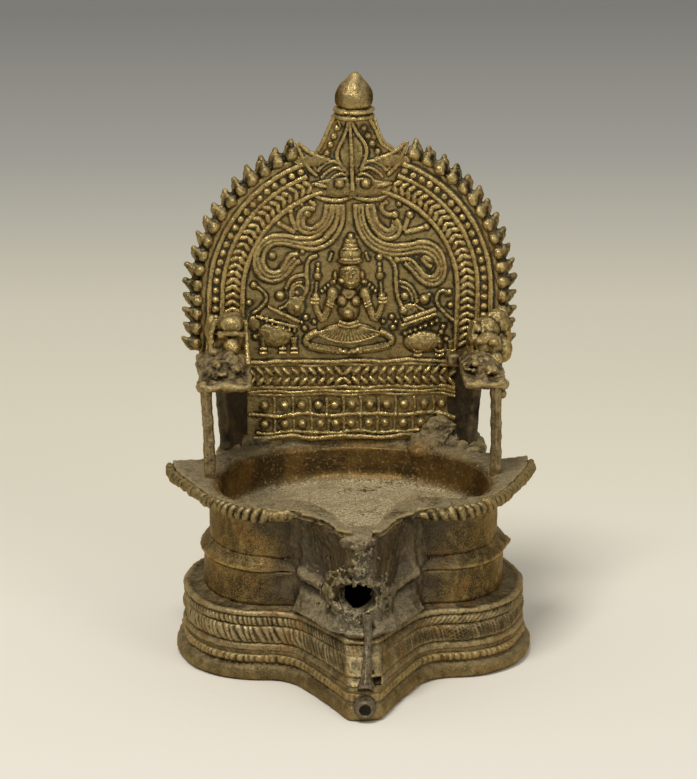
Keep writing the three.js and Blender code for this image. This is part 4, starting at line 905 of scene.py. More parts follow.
twelve = lambda line: line[np.linspace(0, len(line) - 1, 12).round().astype(int)]
lip, lobe = twelve(smooth_line(LIP_EDGE[2:], 3)), twelve(smooth_line(LEAF_EDGE[:6][::-1], 3))
rim_parts = [slab(outline, WALL_TOP, RIM_TOP - 0.9)]
for side in (-1, 1):
    threads = [(smooth_line(LIP_EDGE, 4), 1.0, 57.0), (edge_line[: len(edge_line) // 4 : 5], 1.0, 56.9)]
    threads += [(lip * (1 - share) + lobe * share, 0.5, 57.5) for share in (0.2, 0.36, 0.52, 0.68, 0.84)]
    for line, radius, z in threads:
        rim_parts.append(thread_of_wax(at_height(line * (side, 1), z), radius))
for x, y in ((21.6, -24.6), (17.0, -28.4)):
    rim_parts.append(lump_of_wax((x, y, 58.0), (1.5, 1.5, 1.3)))
for x, y, z, r in (
    (41.5, 38, 56.6, 5.5), (-36, 45, 57, 5.5), (-40, 40, 56.6, 4.5), (-30, 46, 56.5, 5), (42, 33, 56.5, 3.5),
):
    rim_parts.append(lump_of_wax((x, y, z), (r, 0.5 * r, 0.8 * r)))
rim_parts.append(thread_of_wax([(-34, 46.9, 57.6), (0, 47.2, 57.6), (34, 46.9, 57.6)], 1.5))
# Hardened dirt is heaped in the corner between the seat and the right cheek.
rng = np.random.default_rng(8)
for _ in range(110):
    x, share, r = rng.uniform(23, 44), rng.uniform(0, 1), rng.uniform(1.2, 2.6)
    top = 9.5 * max(0, 1 - ((x - 34) / 11) ** 2)
    heaped = (x, 46.5 - 5.5 * (1 - share) - 0.25 * abs(x - 34), 57 + top * share)
    rim_parts.append(lump_of_wax(heaped, (1.5 * r, r, r)))
rim = one_casting(rim_parts, 0.45, 2)
shape = points_of(rim)
thin = rising(np.abs(shape[:, 0]), 47, 12) * 0.5
thin = np.maximum(thin, rising(-shape[:, 1], 12, 14) * 0.42)
thin *= shape[:, 2] < RIM_TOP
shape[:, 2] = RIM_TOP - (RIM_TOP - shape[:, 2]) * (1 - thin)
inner = fading(np.linalg.norm(shape[:, :2], axis=1), 49.5, 4.5) * (shape[:, 2] > 56)
shape[:, 2] -= 1.7 * inner**2 * rising(shape[:, 1], -25, 10)
move_points(rim, shape)
handmade(rim, 1.3, 6)
handmade(rim, 0.8, 2.4)
crusted(rim, (34, 43, 61), 13, 1.6, 1.1)
rim_brass = old_brass(
    "dusty_rim_brass", (0.36, 0.27, 0.12), (0.10, 0.075, 0.036), (0.014, 0.011, 0.007), metal=0.6, dust=0.72,
    soot=0.2, oiled_inside=True,
)
finished(rim, "leaf_rim_casting", "leaf_rim", rim_brass)


# ---- Ribbed border of the rim: a thick thread pressed into slanting ribs with a tool, laid along each side
# from the lobe to the wing's tip and melted on.
def ribbed_border(side, lean, swell):
    start = int(0.26 * len(edge_line))
    line = smooth_line(edge_line[start::4] * (side, 1), 0.3)
    way = np.gradient(line, axis=0)
    way /= np.linalg.norm(way, axis=1)[:, None]
    out = np.column_stack((way[:, 1], -way[:, 0])) * side
    turn = np.linspace(0.62 * np.pi, -0.62 * np.pi, 15)
    sections = []
    run = np.arange(len(line)) * 0.3
    for place, outwards, along in zip(line, out, run):
        fade = min(1, along / 4, (run[-1] - along) / 3 + 0.35)
        phase = (along / 3.2 + lean * turn / np.pi) % 1
        worn_down = np.clip(1.5 - 2.0 * along / run[-1], 0.15, 1) * (0.8 + 0.3 * math.sin(0.5 * along))
        if side < 0:
            worn_down *= np.clip((along - 8) / 3, 0.18, 1)
        rib = worn_down * np.clip(1 - (2 * phase - 1) ** 2, 0, 1) ** 0.8
        reach = (1.2 + swell * rib) * fade
        across = -1.6 + reach * np.cos(turn)
        height = 55.9 + (1.9 + 0.55 * swell * rib) * fade * np.sin(turn)
        ring = np.column_stack((place + outwards * across[:, None], height))
        back = np.column_stack((place - outwards * np.array([[2.9], [2.9]]), (54.6, 57.0)))
        sections.append(np.vstack((ring, back)))
    return drawn_out(sections)


edge_brass = old_brass(
    "ribbed_edge_brass", (0.29, 0.215, 0.092), (0.052, 0.038, 0.018), (0.006, 0.005, 0.003), green=0.3,
    dust=0.1
)
for name, side, swell in (("left", -1, 1.35), ("right", 1, 1.6)):
    border = ribbed_border(side, 0.55, swell)
    handmade(border, 1.5, 7)
    handmade(border, 1.1, 2.0)
    finished(border, f"ribbed_edge_{name}", f"leaf_edge_{name}", edge_brass, fine=1.1)


# ---- Back plate: one brass casting, a narrow seat below and a horseshoe arch above it that runs up into a
# neck. It stands on the rim by two tenons, and a pin on top holds the finial.
PLATE_FRONT, PLATE_THICK, PLATE_TOP = 45.5, 3, 169.9
SEAT_HALF = 34.5
ARCH_FOOT, ARCH_MIDDLE, ARCH_RADIUS = 87.5, 110, 50.3


def leaned(points):
    """The back stands out of true: above the arms it leans to the right, most at the top."""
    points = np.array(points, float)
    rise = points[:, -1] - ARCH_FOOT
    points[:, 0] += 0.4 * np.clip(rise / 6, 0, 1) + 0.0205 * np.maximum(rise, 0)
    return points


def pull(start, middle, stop, count):
    return curve_points("quadratic", [np.array(p) for p in (start, middle, stop)], count)


def box_of_wax(low, high):
    """A block between two corners, its edges rounded off."""
    low, high = np.array(low, float), np.array(high, float)
    put_down()
    bpy.ops.mesh.primitive_cube_add(size=1, location=(low + high) / 2, scale=high - low)
    block = joined([bpy.context.object])
    return on_whole(block, bpy.ops.mesh.bevel, offset=0.22 * min(high - low), segments=3, affect="EDGES")


def upright_sheet(outline, front, back, rounding=0.5):
    """A sheet of wax cut to an outline seen from the front, with softened edges."""
    middle = outline.mean(0)
    way = np.roll(outline, -1, 0) - np.roll(outline, 1, 0)
    inwards = np.column_stack((-way[:, 1], way[:, 0])) / np.linalg.norm(way, axis=1)[:, None]
    if ((middle - outline) * inwards).sum() < 0:
        inwards = -inwards
    rings = []
    for inset, y in ((rounding, front), (0, front + rounding), (0, back - rounding), (rounding, back)):
        line = outline + inwards * inset
        rings.append(np.column_stack((line[:, 0], np.full(len(line), y), line[:, 1])))
    return drawn_out(rings)


flare = np.pi / 2 - 0.27
arch = (0, ARCH_MIDDLE) + arc_line(ARCH_RADIUS, 0, flare, 1.0)
neck_side = pull(arch[-1], (11.3, 157.2), (7.0, PLATE_TOP), 30)
half = np.vstack((
    np.column_stack((np.full(24, SEAT_HALF), np.linspace(RIM_TOP, ARCH_FOOT - 1, 24))),
    pull((SEAT_HALF, ARCH_FOOT - 1), (SEAT_HALF, ARCH_FOOT), (SEAT_HALF + 1, ARCH_FOOT), 4),
    np.column_stack((np.linspace(SEAT_HALF + 2, ARCH_RADIUS - 1.5, 12), np.full(12, ARCH_FOOT))),
    pull((ARCH_RADIUS - 1.5, ARCH_FOOT), (ARCH_RADIUS, ARCH_FOOT), (ARCH_RADIUS, ARCH_FOOT + 1.5), 5),
    np.column_stack((np.full(18, ARCH_RADIUS), np.linspace(ARCH_FOOT + 2, ARCH_MIDDLE - 1, 18))),
    arch, neck_side,
))
outline = leaned(np.vstack((half, mirrored(half))))
plate_parts = [upright_sheet(outline, PLATE_FRONT, PLATE_FRONT + PLATE_THICK)]
for side in (-1, 1):
    x = side * 24.84
    plate_parts.append(box_of_wax((x - 3, PLATE_FRONT, 53.2), (x + 3, PLATE_FRONT + PLATE_THICK, 60)))
plate_parts.append(thread_of_wax(leaned([(0, PLATE_FRONT + 1.5, z) for z in (166, 171, 175.6)]), 1.1))
plate = one_casting(plate_parts, 0.5)
handmade(plate, 0.55, 9)
handmade(plate, 0.25, 2)


def deep_in_relief(height):
    """Wear by height: the plate's ground lies dark, and what stands up from it is rubbed."""
    return lambda points: np.clip((PLATE_FRONT - points[:, 1]) / height, -0.4, 1.1) * 0.72 - 0.36


relief_brass = old_brass(
    "relief_brass", (0.46, 0.34, 0.134), (0.225, 0.165, 0.065), (0.019, 0.015, 0.009), rough=0.34, green=0.22,
    metal=0.85
)
plate_brass = old_brass(
    "plate_brass", (0.46, 0.345, 0.137), (0.305, 0.225, 0.089), (0.03, 0.023, 0.013), rough=0.4, green=0.3
)


# ---- Side cheeks, arms and posts: the seat's low walls turn forward along the rim under two flat arms, and a
# post, drawn by hand to an uneven rod, carries each arm's front. Cast parts, riveted through.
# The cheeks' brass is painted dark for the shade they stand in under the arms, with soot patches besides.
cheek_brass_in_painted_shade = old_brass(
    "painted_shade_cheek_brass", (0.12, 0.088, 0.045), (0.038, 0.028, 0.016), (0.01, 0.008, 0.005), metal=0.5,
    dust=0.5, soot=0.3
)
arm_brass = old_brass(
    "dusty_arm_brass", (0.34, 0.25, 0.108), (0.085, 0.062, 0.029), (0.007, 0.005, 0.003), metal=0.6, dust=0.5
)
post_brass = old_brass(
    "post_brass", (0.34, 0.255, 0.12), (0.095, 0.073, 0.037), (0.014, 0.011, 0.007), green=0.6
)
SIDES = (("left", -1), ("right", 1))
for name, side in SIDES:
    corners = np.array([(33.9, 48.5), (33.9, 45.5), (40.4, 35.6), (43.5, 36.5)]) * (side, 1)
    cheek = slab(corners if side > 0 else corners[::-1], 58.3, 86.8)
    lining = [
        (side * 35.6, 45.2, 60), (side * 35.6, 45, 84), (side * 38, 41, 86.2), (side * 41.5, 36.5, 86.4)
    ]
    cheek = one_casting([cheek, thread_of_wax(lining, 0.8)], 0.5)
    shape = points_of(cheek)
    shape[:, 0] += side * 1.8 * rising(shape[:, 2], 62, 20) * fading(shape[:, 1], 44, 8)
    move_points(cheek, shape)
    handmade(cheek, 1.1, 5)
    finished(cheek, f"cheek_{name}", f"side_cheek_{name}", cheek_brass_in_painted_shade)

    # Ahead of its root, the right arm's inner edge is broken away.
    arm_root = 33.6 if side < 0 else 37.2
    arm_parts = [
        box_of_wax((arm_root, 3.4, 86.9), (51, 45.5, 89.4)), box_of_wax((33.6, 38, 85.9), (40, 45.5, 89.6))
    ]
    front = [
        (arm_root + 0.4, 5, 88), (arm_root + 2, 3.9, 88.3), (42.3, 3.9, 88.5), (48.6, 3.9, 88.2),
        (50.4, 6, 88),
    ]
    arm_parts.append(thread_of_wax(front, 1.3, (1, 0.8, 1.1, 0.9, 1)))
    arm_parts.append(lump_of_wax((49.4, 5.6, 88.2), (2.5, 2.4, 2.1)))
    if side > 0:
        arm_parts.append(lump_of_wax((49.6, 7, 84.6), (1.7, 1.7, 1.9)))
    for x, y in ((43.4, 17), (39.2, 16)):
        scroll = [(x + 1.5 * math.cos(a), y + 3.4 * math.sin(a), 91.4) for a in np.arange(0, 6.0, 0.75)]
        arm_parts.append(thread_of_wax(scroll, 0.7))
        arm_parts.append(lump_of_wax((x, y, 91.4), (0.9, 1.6, 1.0)))
    arm_parts.append(lump_of_wax((42.4 if side < 0 else 44.2, 29, 88.2), (8.6 if side < 0 else 7, 21, 5.6)))
    rng = np.random.default_rng(3 + side)
    across, along, sizes = rng.uniform(arm_root + 2.4, 49, 26), rng.uniform(5, 33, 26), rng.uniform(
        0.7, 1.9, 26
    )
    for x, y, r in zip(across, along, sizes):
        rise = 4.6 * max(0, 1 - ((y - 29) / 21) ** 2) ** 0.5
        arm_parts.append(lump_of_wax((x, y, 89.0 + rise * (abs(x - 42.4) < 5)), (r, 1.6 * r, 0.8 * r)))
    arm = one_casting(arm_parts, 0.45, 2)
    handmade(arm, 2.0, 5, seed=7.0 * side)
    handmade(arm, 0.9, 2, seed=3.0 * side)
    move_points(arm, points_of(arm) * (side, 1, 1))
    if side < 0:
        on_whole(arm, bpy.ops.mesh.flip_normals)
    finished(arm, f"arm_{name}", f"throne_arm_{name}", arm_brass, fine=1.0)

    top = 48.6 if side < 0 else 47.6
    post_line = [
        (side * 47.6, 5.5, 56.2), (side * 47.6, 5.5, 60), (side * 47.7, 5.4, 68),
        (side * (47.8 + top) / 2, 5.6, 77), (side * top, 5.4, 84), (side * top, 5.5, 88.6),
    ]
    post = one_casting([thread_of_wax(post_line, 1.9, (0.8, 1.1, 1.0, 0.98, 1.05, 1.1))], 0.35)
    handmade(post, 0.8, 3.2, seed=5.0 * side)
    finished(post, f"post_{name}", f"arm_post_{name}", post_brass)


# ---- Bands round the arch: rolled wax threads with a row of leaf strokes between the inner two and a row of
# beads between the outer two, laid on the plate and cast with it.
BAND_FOOT = 90.2
BAND_END = np.pi / 2 - 0.36


def round_arch(radius, pitch, end=BAND_END, first=0.5):
    """Places along one side of the arch: (x, z) and the turn of the line there, upright first."""
    straight = ARCH_MIDDLE - BAND_FOOT
    length = straight + radius * end
    number = round(length / pitch)
    places = []
    for run in (np.arange(number) + first) * length / (number - 1 + 2 * first):
        turn = max(0.0, (run - straight) / radius)
        if turn == 0:
            places.append((radius, BAND_FOOT + run, 0.0))
        else:
            places.append((radius * math.cos(turn), ARCH_MIDDLE + radius * math.sin(turn), turn))
    return places


def laid_along(pattern, places, side):
    """Copies of one shape, each with its own mesh, turned to follow the arch."""
    rng = np.random.default_rng(11)
    copies = []
    for x, z, turn in places:
        one = pattern.copy()
        one.data = pattern.data.copy()
        scene.collection.objects.link(one)
        one.rotation_euler[1] = -turn * side + rng.normal(0, 0.04)
        (x, z), = leaned([(x * side, z)])
        one.location = (x, 0, z + rng.normal(0, 0.05))
        one.scale = rng.uniform(0.92, 1.06, 3) * (side, 1, 1)
        one.location[1] = PLATE_FRONT * (1 - one.scale[1])
        copies.append(one)
    bpy.data.objects.remove(pattern)
    return copies


def pressed_back(piece, depth=0.35):
    """The back of a relief is flat, a little way into the plate."""
    shape = points_of(piece)
    shape[:, 1] = np.minimum(shape[:, 1], PLATE_FRONT + depth)
    move_points(piece, shape)
    return piece


relief_feet = []


def relief(parts, grain):
    """Relief worked on the plate; where its foot meets the plate is kept, for painted shade beside it."""
    piece = pressed_back(joined(parts))
    on_whole(piece, bpy.ops.mesh.normals_make_consistent, inside=False)
    piece = one_casting([piece], grain)
    shape = points_of(piece)
    relief_feet.append(shape[np.abs(shape[:, 1] - PLATE_FRONT) < 0.3])
    return piece


def worked_relief(parts, grain, waves, name, node, height):
    """Relief with the hand's waves in it, rubbed where it stands out by its height."""
    piece = handmade(relief(parts, grain), *waves)
    finished(piece, name, node, relief_brass, deep_in_relief(height))


def arch_thread(radius, side, width, end=BAND_END):
    line = [(x * side, PLATE_FRONT, z) for x, z, turn in round_arch(radius, 4, end, first=0)]
    rng = np.random.default_rng(int(radius))
    return thread_of_wax(leaned(line), width, tuple(rng.uniform(0.85, 1.15, len(line))))


RAILS = (("inner", 36.2, BAND_END + 0.08), ("middle", 43.0, BAND_END), ("outer", 47.4, BAND_END))
for name, side in SIDES:
    for kind, radius, end in RAILS:
        rail = [arch_thread(radius, side, 0.95, end)]
        worked_relief(rail, 0.25, (0.5, 2.5), f"rail_{kind}_{name}", f"{kind}_thread_{name}", 0.9)

    stroke = joined([
        lump_of_wax((dx * 1.2, PLATE_FRONT, 0.35), (2.05, 1.15, 0.95), turn=dx * 0.62) for dx in (-1, 1)
    ])
    leaves = laid_along(stroke, round_arch(39.6, 2.5), side)
    worked_relief(leaves, 0.22, (0.4, 1.4), f"leaf_strokes_{name}", f"chevron_band_{name}", 0.8)

    bead = joined([lump_of_wax((0, PLATE_FRONT, 0), (1.3, 1.3, 1.3))])
    beads = laid_along(bead, round_arch(45.2, 3.3), side)
    worked_relief(beads, 0.25, (0.35, 1.2), f"bead_row_{name}", f"bead_band_{name}", 1.0)


# ---- Flames: plump pointed buds modelled one by one round the arch's edge, joined by a thin scalloped web of
# brass behind them. Their blunt tips turn up.
def flame_bud():
    """A bud that points away from the arch: a round bulb drawn out to a blunt tip."""
    rings = []
    turn = full_turn(20)
    for along, radius, rise in (
        (-1.1, 0.1, 0), (-0.9, 1.2, 0), (-0.2, 2.1, 0), (0.7, 2.45, 0), (1.7, 2.25, 0.1), (2.6, 1.75, 0.3),
        (3.4, 1.5, 0.5), (4.2, 1.4, 0.8), (5.0, 1.25, 1.1), (5.6, 1.0, 1.3), (6.0, 0.6, 1.4),
        (6.1, 0.05, 1.4),
    ):
        front = PLATE_FRONT + 0.7 + 0.4 * max(0, along - 1.5)
        ring = (np.full(20, along), front + 1.05 * radius * np.cos(turn), rise + radius * np.sin(turn))
        rings.append(np.column_stack(ring))
    return drawn_out(rings)


FLAMES = 16
FLAME_ROOT = 50.4
straight = ARCH_MIDDLE - BAND_FOOT
edge_length = straight + FLAME_ROOT * BAND_END
pitch = edge_length / FLAMES
for name, side in SIDES:
    buds = laid_along(flame_bud(), round_arch(FLAME_ROOT, pitch), side)
    web_rings = []
    for run in np.linspace(0, edge_length, FLAMES * 12):
        turn = max(0.0, (run - straight) / FLAME_ROOT)
        out = np.array((math.cos(turn), math.sin(turn)))
        middle = np.array((0, ARCH_MIDDLE if turn else BAND_FOOT + run))
        reach = 53.4 + 2.2 * abs(math.sin(math.pi * run / pitch)) ** 1.2
        ring = []
        for r, y in ((49.6, 45.9), (reach - 0.5, 46.0), (reach, 46.9), (reach - 0.5, 48.1), (49.6, 48.2)):
            x, z = middle + out * r
            ring.append((x * side, y, z))
        web_rings.append(leaned(ring))
    flames = one_casting([drawn_out(web_rings), *buds], 0.4)
    handmade(flames, 0.9, 3, seed=side * 4.0)
    handmade(flames, 0.4, 1.2)
    flame_tone = -0.55 if side < 0 else -0.18
    dark_tips = lambda points: flame_tone - 1.0 * rising(
        np.hypot(points[:, 0], np.maximum(points[:, 2] - ARCH_MIDDLE, 0)), 53, 4
    )
    finished(flames, f"flames_{name}", f"flame_border_{name}", relief_brass, dark_tips)


# ---- Figures and ornament in relief inside the arch. The carver's drawings for them are on four sheets; each
# sheet is laid on the plate by where its corner falls and the size of one of its squares.
class Sheet:
    """A drawing for the plate: where its corner falls, the size of its squares, and which way it is read."""

    def __init__(self, x, z, across, down, start=0, way=1):
        self.x, self.z, self.across, self.down, self.start, self.way = x, z, across, down, start, way

    def turned(self, start, way):
        """The same sheet read from another line, to the left where the way is -1."""
        return Sheet(self.x, self.z, self.across, self.down, start, way)

    def place(self, stop, lift=0.0):
        u, v = stop
        return self.x + (self.start + self.way * u) * self.across, PLATE_FRONT - lift, self.z - v * self.down

    def thread(self, stops, radius, thickness=None, lift=0.0):
        return thread_of_wax([self.place(stop, lift) for stop in stops], radius, thickness)

    def bead(self, stop, radius, height=None):
        return lump_of_wax(self.place(stop), (radius, height or radius * 1.1, radius))

    def lump(self, stop, across, up, height, turn=0.0, lift=0.0):
        return lump_of_wax(self.place(stop, lift), (across, height, up), turn)


LEFT_SHEET = Sheet(-57.95, 165.96, 0.05625, 0.05767)
RIGHT_SHEET = Sheet(-0.57, 165.96, 0.05625, 0.05767)
CROWN_SHEET = Sheet(-20.15, 186.72, 0.04821, 0.04943)
MIDDLE_SHEET = Sheet(-16.77, 143.47, 0.04821, 0.04943)


# Lion mask: two leaf horns, brow folds over round eyes, a long ridged blade down the middle and a curled lip,
# under a beaded neck.
sheet = CROWN_SHEET
mask_parts = [
    sheet.lump((445, 600), 3.9, 8.2, 0.9),
    sheet.thread(
        [(433, 345), (440, 480), (447, 640), (450, 760), (453, 835)], 0.75, (0.5, 0.9, 1, 1, 1.3), 0.7
    ),
    sheet.thread([(425, 848), (455, 842), (490, 848)], 0.7),
    sheet.thread([(430, 348), (395, 460), (345, 575), (350, 620), (405, 700)], 0.75),
    sheet.thread([(438, 348), (480, 430), (548, 540), (545, 600), (508, 692)], 0.75),
    sheet.thread([(305, 328), (450, 330), (600, 335)], 0.7),
    sheet.thread([(322, 335), (285, 410), (250, 490), (212, 560)], 0.75),
    sheet.thread([(350, 340), (370, 400)], 0.4),
    sheet.thread([(572, 338), (620, 430), (665, 520), (735, 565)], 0.75),
    sheet.thread([(604, 338), (640, 440), (680, 510), (740, 548)], 0.6),
    sheet.thread([(180, 870), (250, 895), (345, 908), (445, 885)], 0.85, (0.6, 1, 1, 0.7)),
    sheet.thread([(460, 882), (560, 905), (640, 900), (700, 870)], 0.85, (0.7, 1, 1, 0.6)),
    sheet.thread([(370, 838), (420, 856), (500, 852), (530, 838)], 0.5),
    sheet.lump((430, 820), 14.5, 3.6, 0.9),
]
for x, y in ((345, 402), (322, 460), (298, 518), (275, 575), (532, 404), (560, 458), (590, 512), (628, 570)):
    mask_parts.append(sheet.bead((x, y), 1.15, 1.3))
for x, y in ((360, 788), (545, 790)):
    mask_parts.append(sheet.bead((x, y), 1.9, 2.3))
for flip in (False, True):
    half = sheet.turned(900, -1) if flip else sheet
    mask_parts += [
        half.thread([(70, 498), (140, 560), (215, 600), (292, 632)], 0.8, (0.6, 1, 1, 0.8)),
        half.thread([(62, 500), (100, 590), (150, 680), (205, 735)], 0.8, (0.6, 1, 1, 0.8)),
        half.thread([(90, 535), (150, 620), (205, 700)], 0.55, (0.6, 1, 0.8)),
        half.lump((175, 630), 6.4, 2.3, 0.85),
        half.thread([(210, 705), (250, 660), (320, 635), (385, 662)], 0.65),
        half.thread([(235, 750), (280, 705), (340, 680), (395, 700)], 0.6),
        half.thread([(290, 790), (320, 745), (370, 722), (410, 730)], 0.55),
        half.lump((235, 800), 2.8, 1.1, 1.4, turn=-0.25 if flip else 0.25),
        half.thread([(175, 785), (200, 810), (260, 830)], 0.45),
    ]
worked_relief(mask_parts, 0.22, (0.35, 1.6), "lion_brow", "lion_mask", 1.3)


# Streams that fall from the mask's mouth: flat ribbons with raised edges that curl outwards, with buds on
# short stems between them.
sheet = LEFT_SHEET
left_parts = [
    sheet.thread(line, 0.95) for line in (
        [(945, 440), (935, 520), (890, 590), (830, 635), (740, 640), (640, 625), (560, 635), (500, 690),
         (475, 770), (490, 840), (540, 885), (610, 890), (670, 850), (715, 795), (748, 778)],
        [(1000, 440), (1000, 530), (965, 620), (890, 690), (800, 705), (700, 680), (620, 668), (560, 690),
         (525, 750), (535, 810), (575, 845), (625, 838), (660, 790), (685, 748), (735, 735)],
        [
            (935, 442), (920, 510), (875, 580), (810, 608), (748, 590), (735, 530), (755, 480), (800, 462),
            (835, 470)
        ],
        [(905, 442), (890, 520), (840, 575), (785, 580), (762, 540), (775, 510)],
        [(975, 442), (968, 530), (930, 610), (850, 665), (760, 665)],
        [(690, 495), (700, 530), (725, 590)], [(630, 560), (670, 580), (715, 605)], [(820, 425), (838, 450)],
    )
]
left_parts += [
    sheet.thread([(972, 440), (968, 525), (925, 605), (860, 665), (765, 672), (650, 650), (560, 662), (500, 720),
                    (500, 800), (555, 865), (620, 862), (675, 800), (720, 762)], 2.4, lift=-1.5),
    sheet.thread(
        [(925, 442), (910, 520), (860, 578), (800, 595), (755, 560), (755, 510), (785, 475)], 2.0, lift=-1.25
    ),
]
left_parts += [sheet.bead(spot, r) for spot, r in (
    ((580, 745), 1.35), ((790, 495), 1.4), ((690, 478), 1.1), ((622, 553), 1.1), ((755, 438), 0.8),
    ((808, 424), 0.8), ((760, 722), 0.9),
)]
worked_relief(left_parts, 0.22, (0.35, 1.8), "streams_left", "stream_left", 0.9)

sheet = RIGHT_SHEET
right_parts = [
    sheet.thread(line, 0.95) for line in (
        [(127, 440), (132, 500), (160, 570), (215, 635), (268, 648), (310, 622), (322, 575), (300, 532)],
        [(95, 440), (102, 520), (130, 600), (190, 660), (270, 688), (370, 688), (470, 672), (540, 702),
         (582, 770), (590, 850), (560, 912), (500, 925), (440, 890), (400, 838), (350, 795)],
        [(55, 440), (62, 520), (92, 620), (150, 690), (240, 737), (340, 742), (440, 727), (500, 742),
         (545, 790), (552, 845), (520, 880), (478, 872), (430, 820), (380, 775), (325, 772)],
        [(160, 440), (185, 540), (230, 592), (265, 600), (285, 570)],
        [(78, 440), (85, 530), (115, 610), (170, 675), (250, 712), (350, 714), (450, 700), (520, 722),
         (562, 780), (568, 850)],
        [(285, 505), (240, 500), (215, 470), (220, 432)], [(375, 515), (360, 560), (345, 600)],
        [(470, 585), (410, 600), (350, 612)], [(455, 760), (480, 800), (512, 822)],
    )
]
right_parts += [
    sheet.thread([(75, 440), (85, 520), (115, 615), (170, 675), (255, 712), (350, 715), (450, 700), (525, 722),
                    (568, 785), (572, 850), (535, 900), (480, 885), (425, 835), (375, 790)], 2.4, lift=-1.5),
    sheet.thread([(143, 440), (160, 520), (195, 590), (255, 625), (300, 590), (305, 540)], 2.0, lift=-1.25),
]
right_parts += [sheet.bead(spot, r) for spot, r in (
    ((292, 505), 1.4), ((382, 508), 1.35), ((480, 580), 1.2), ((240, 432), 0.95), ((316, 442), 0.95),
    ((305, 775), 1.35), ((200, 760), 1.2),
)]
right_parts.append(sheet.lump((492, 772), 2.3, 1.2, 0.9, turn=0.5))
worked_relief(right_parts, 0.22, (0.35, 1.8), "streams_right", "stream_right", 0.9)


# Elephants with raised trunks, one each side: a barrel body on short ringed legs, and a saddle cloth with a
# fringe of beads.
sheet = LEFT_SHEET
elephant_parts = [
    sheet.lump((600, 1215), 6.2, 4.6, 1.9), sheet.lump((720, 1050), 3.2, 3.6, 1.1),
    sheet.thread([(552, 1048), (640, 1092), (742, 1140)], 0.75, lift=0.9),
    sheet.thread([(480, 1102), (600, 1140), (728, 1172)], 0.6, lift=1.0),
    sheet.thread([(620, 1066), (655, 1050), (685, 1024)], 0.6),
    sheet.thread([(660, 945), (690, 890), (730, 868), (775, 862)], 0.7),
    sheet.thread([(690, 1010), (690, 960), (715, 915), (760, 905)], 0.55),
    sheet.thread([(745, 1000), (770, 985), (765, 940), (735, 925), (705, 945), (705, 990)], 0.5),
    sheet.thread([(850, 745), (805, 765), (785, 850), (790, 920), (765, 1000), (728, 1055)], 0.8),
    sheet.thread([(478, 925), (520, 955), (545, 1000), (520, 1045), (462, 1092)], 0.6),
    sheet.lump((470, 1150), 2.0, 2.6, 0.8),
]
for x, y in ((512, 1112), (545, 1128), (578, 1148), (610, 1165), (645, 1176), (680, 1186), (712, 1190)):
    elephant_parts.append(sheet.thread([(x + 4, y - 30), (x, y)], 0.5, (0.8, 1.2), lift=0.9))
    elephant_parts.append(sheet.lump((x, y + 6), 0.7, 0.75, 1.9))
for x in (525, 640, 710):
    elephant_parts.append(sheet.thread([(x - 4, 1235), (x, 1285), (x, 1330)], 1.15, (1.2, 0.8, 1)))
    elephant_parts.append(sheet.thread([(x - 22, 1302), (x + 22, 1302)], 0.5, lift=0.9))
    elephant_parts.append(sheet.thread([(x - 24, 1328), (x + 24, 1328)], 0.65, lift=0.9))
for spot, r in (((470, 920), 1.25), ((440, 1025), 1.05), ((627, 985), 1.65), ((727, 970), 0.9), ((727, 1060), 1.5),
                ((475, 1232), 0.9)):
    elephant_parts.append(sheet.bead(spot, r))
worked_relief(elephant_parts, 0.22, (0.35, 1.6), "elephant_on_left", "elephant_left", 1.5)

sheet = RIGHT_SHEET
elephant_parts = [
    sheet.lump((462, 1270), 6.6, 3.8, 1.9), sheet.lump((380, 1100), 3.0, 3.6, 0.9),
    sheet.thread([(345, 1140), (440, 1108), (540, 1072)], 0.9, lift=0.8),
    sheet.thread([(330, 1170), (430, 1138), (545, 1100)], 0.6, lift=1.0),
    sheet.thread([(408, 1045), (440, 1066), (475, 1085)], 0.5),
    sheet.thread([(408, 1045), (402, 1090)], 0.5),
    sheet.thread([(320, 905), (380, 930), (415, 985), (428, 1035)], 0.6),
    sheet.thread([(330, 935), (370, 955), (395, 1000), (400, 1030)], 0.45),
    sheet.thread([(225, 745), (262, 765), (295, 820), (300, 900), (312, 1000), (340, 1070)], 0.8),
    sheet.thread([(610, 985), (585, 965), (555, 980), (545, 1030), (585, 1090), (650, 1150)], 0.65),
]
for x, y in ((355, 1218), (385, 1205), (415, 1196), (447, 1184), (478, 1170), (515, 1160), (545, 1142)):
    elephant_parts.append(sheet.lump((x, y), 0.85, 0.85, 2.0))
for x, y in ((585, 1182), (572, 1216), (604, 1258), (636, 1276)):
    elephant_parts.append(sheet.bead((x, y), 0.9))
for x in (432, 562, 632):
    elephant_parts.append(sheet.thread([(x, 1265), (x, 1310), (x, 1348)], 1.15, (1.2, 0.8, 1)))
    elephant_parts.append(sheet.thread([(x - 28, 1318), (x, 1328), (x + 28, 1318)], 0.5, lift=0.9))
    elephant_parts.append(sheet.thread([(x - 28, 1344), (x, 1354), (x + 28, 1344)], 0.6, lift=0.9))
for spot, r in (((352, 995), 1.5), ((470, 1015), 1.7), ((500, 990), 0.8), ((345, 1082), 1.55), ((620, 975), 1.1),
                ((627, 1052), 1.1)):
    elephant_parts.append(sheet.bead(spot, r))
worked_relief(elephant_parts, 0.22, (0.35, 1.6), "elephant_on_right", "elephant_right", 1.5)


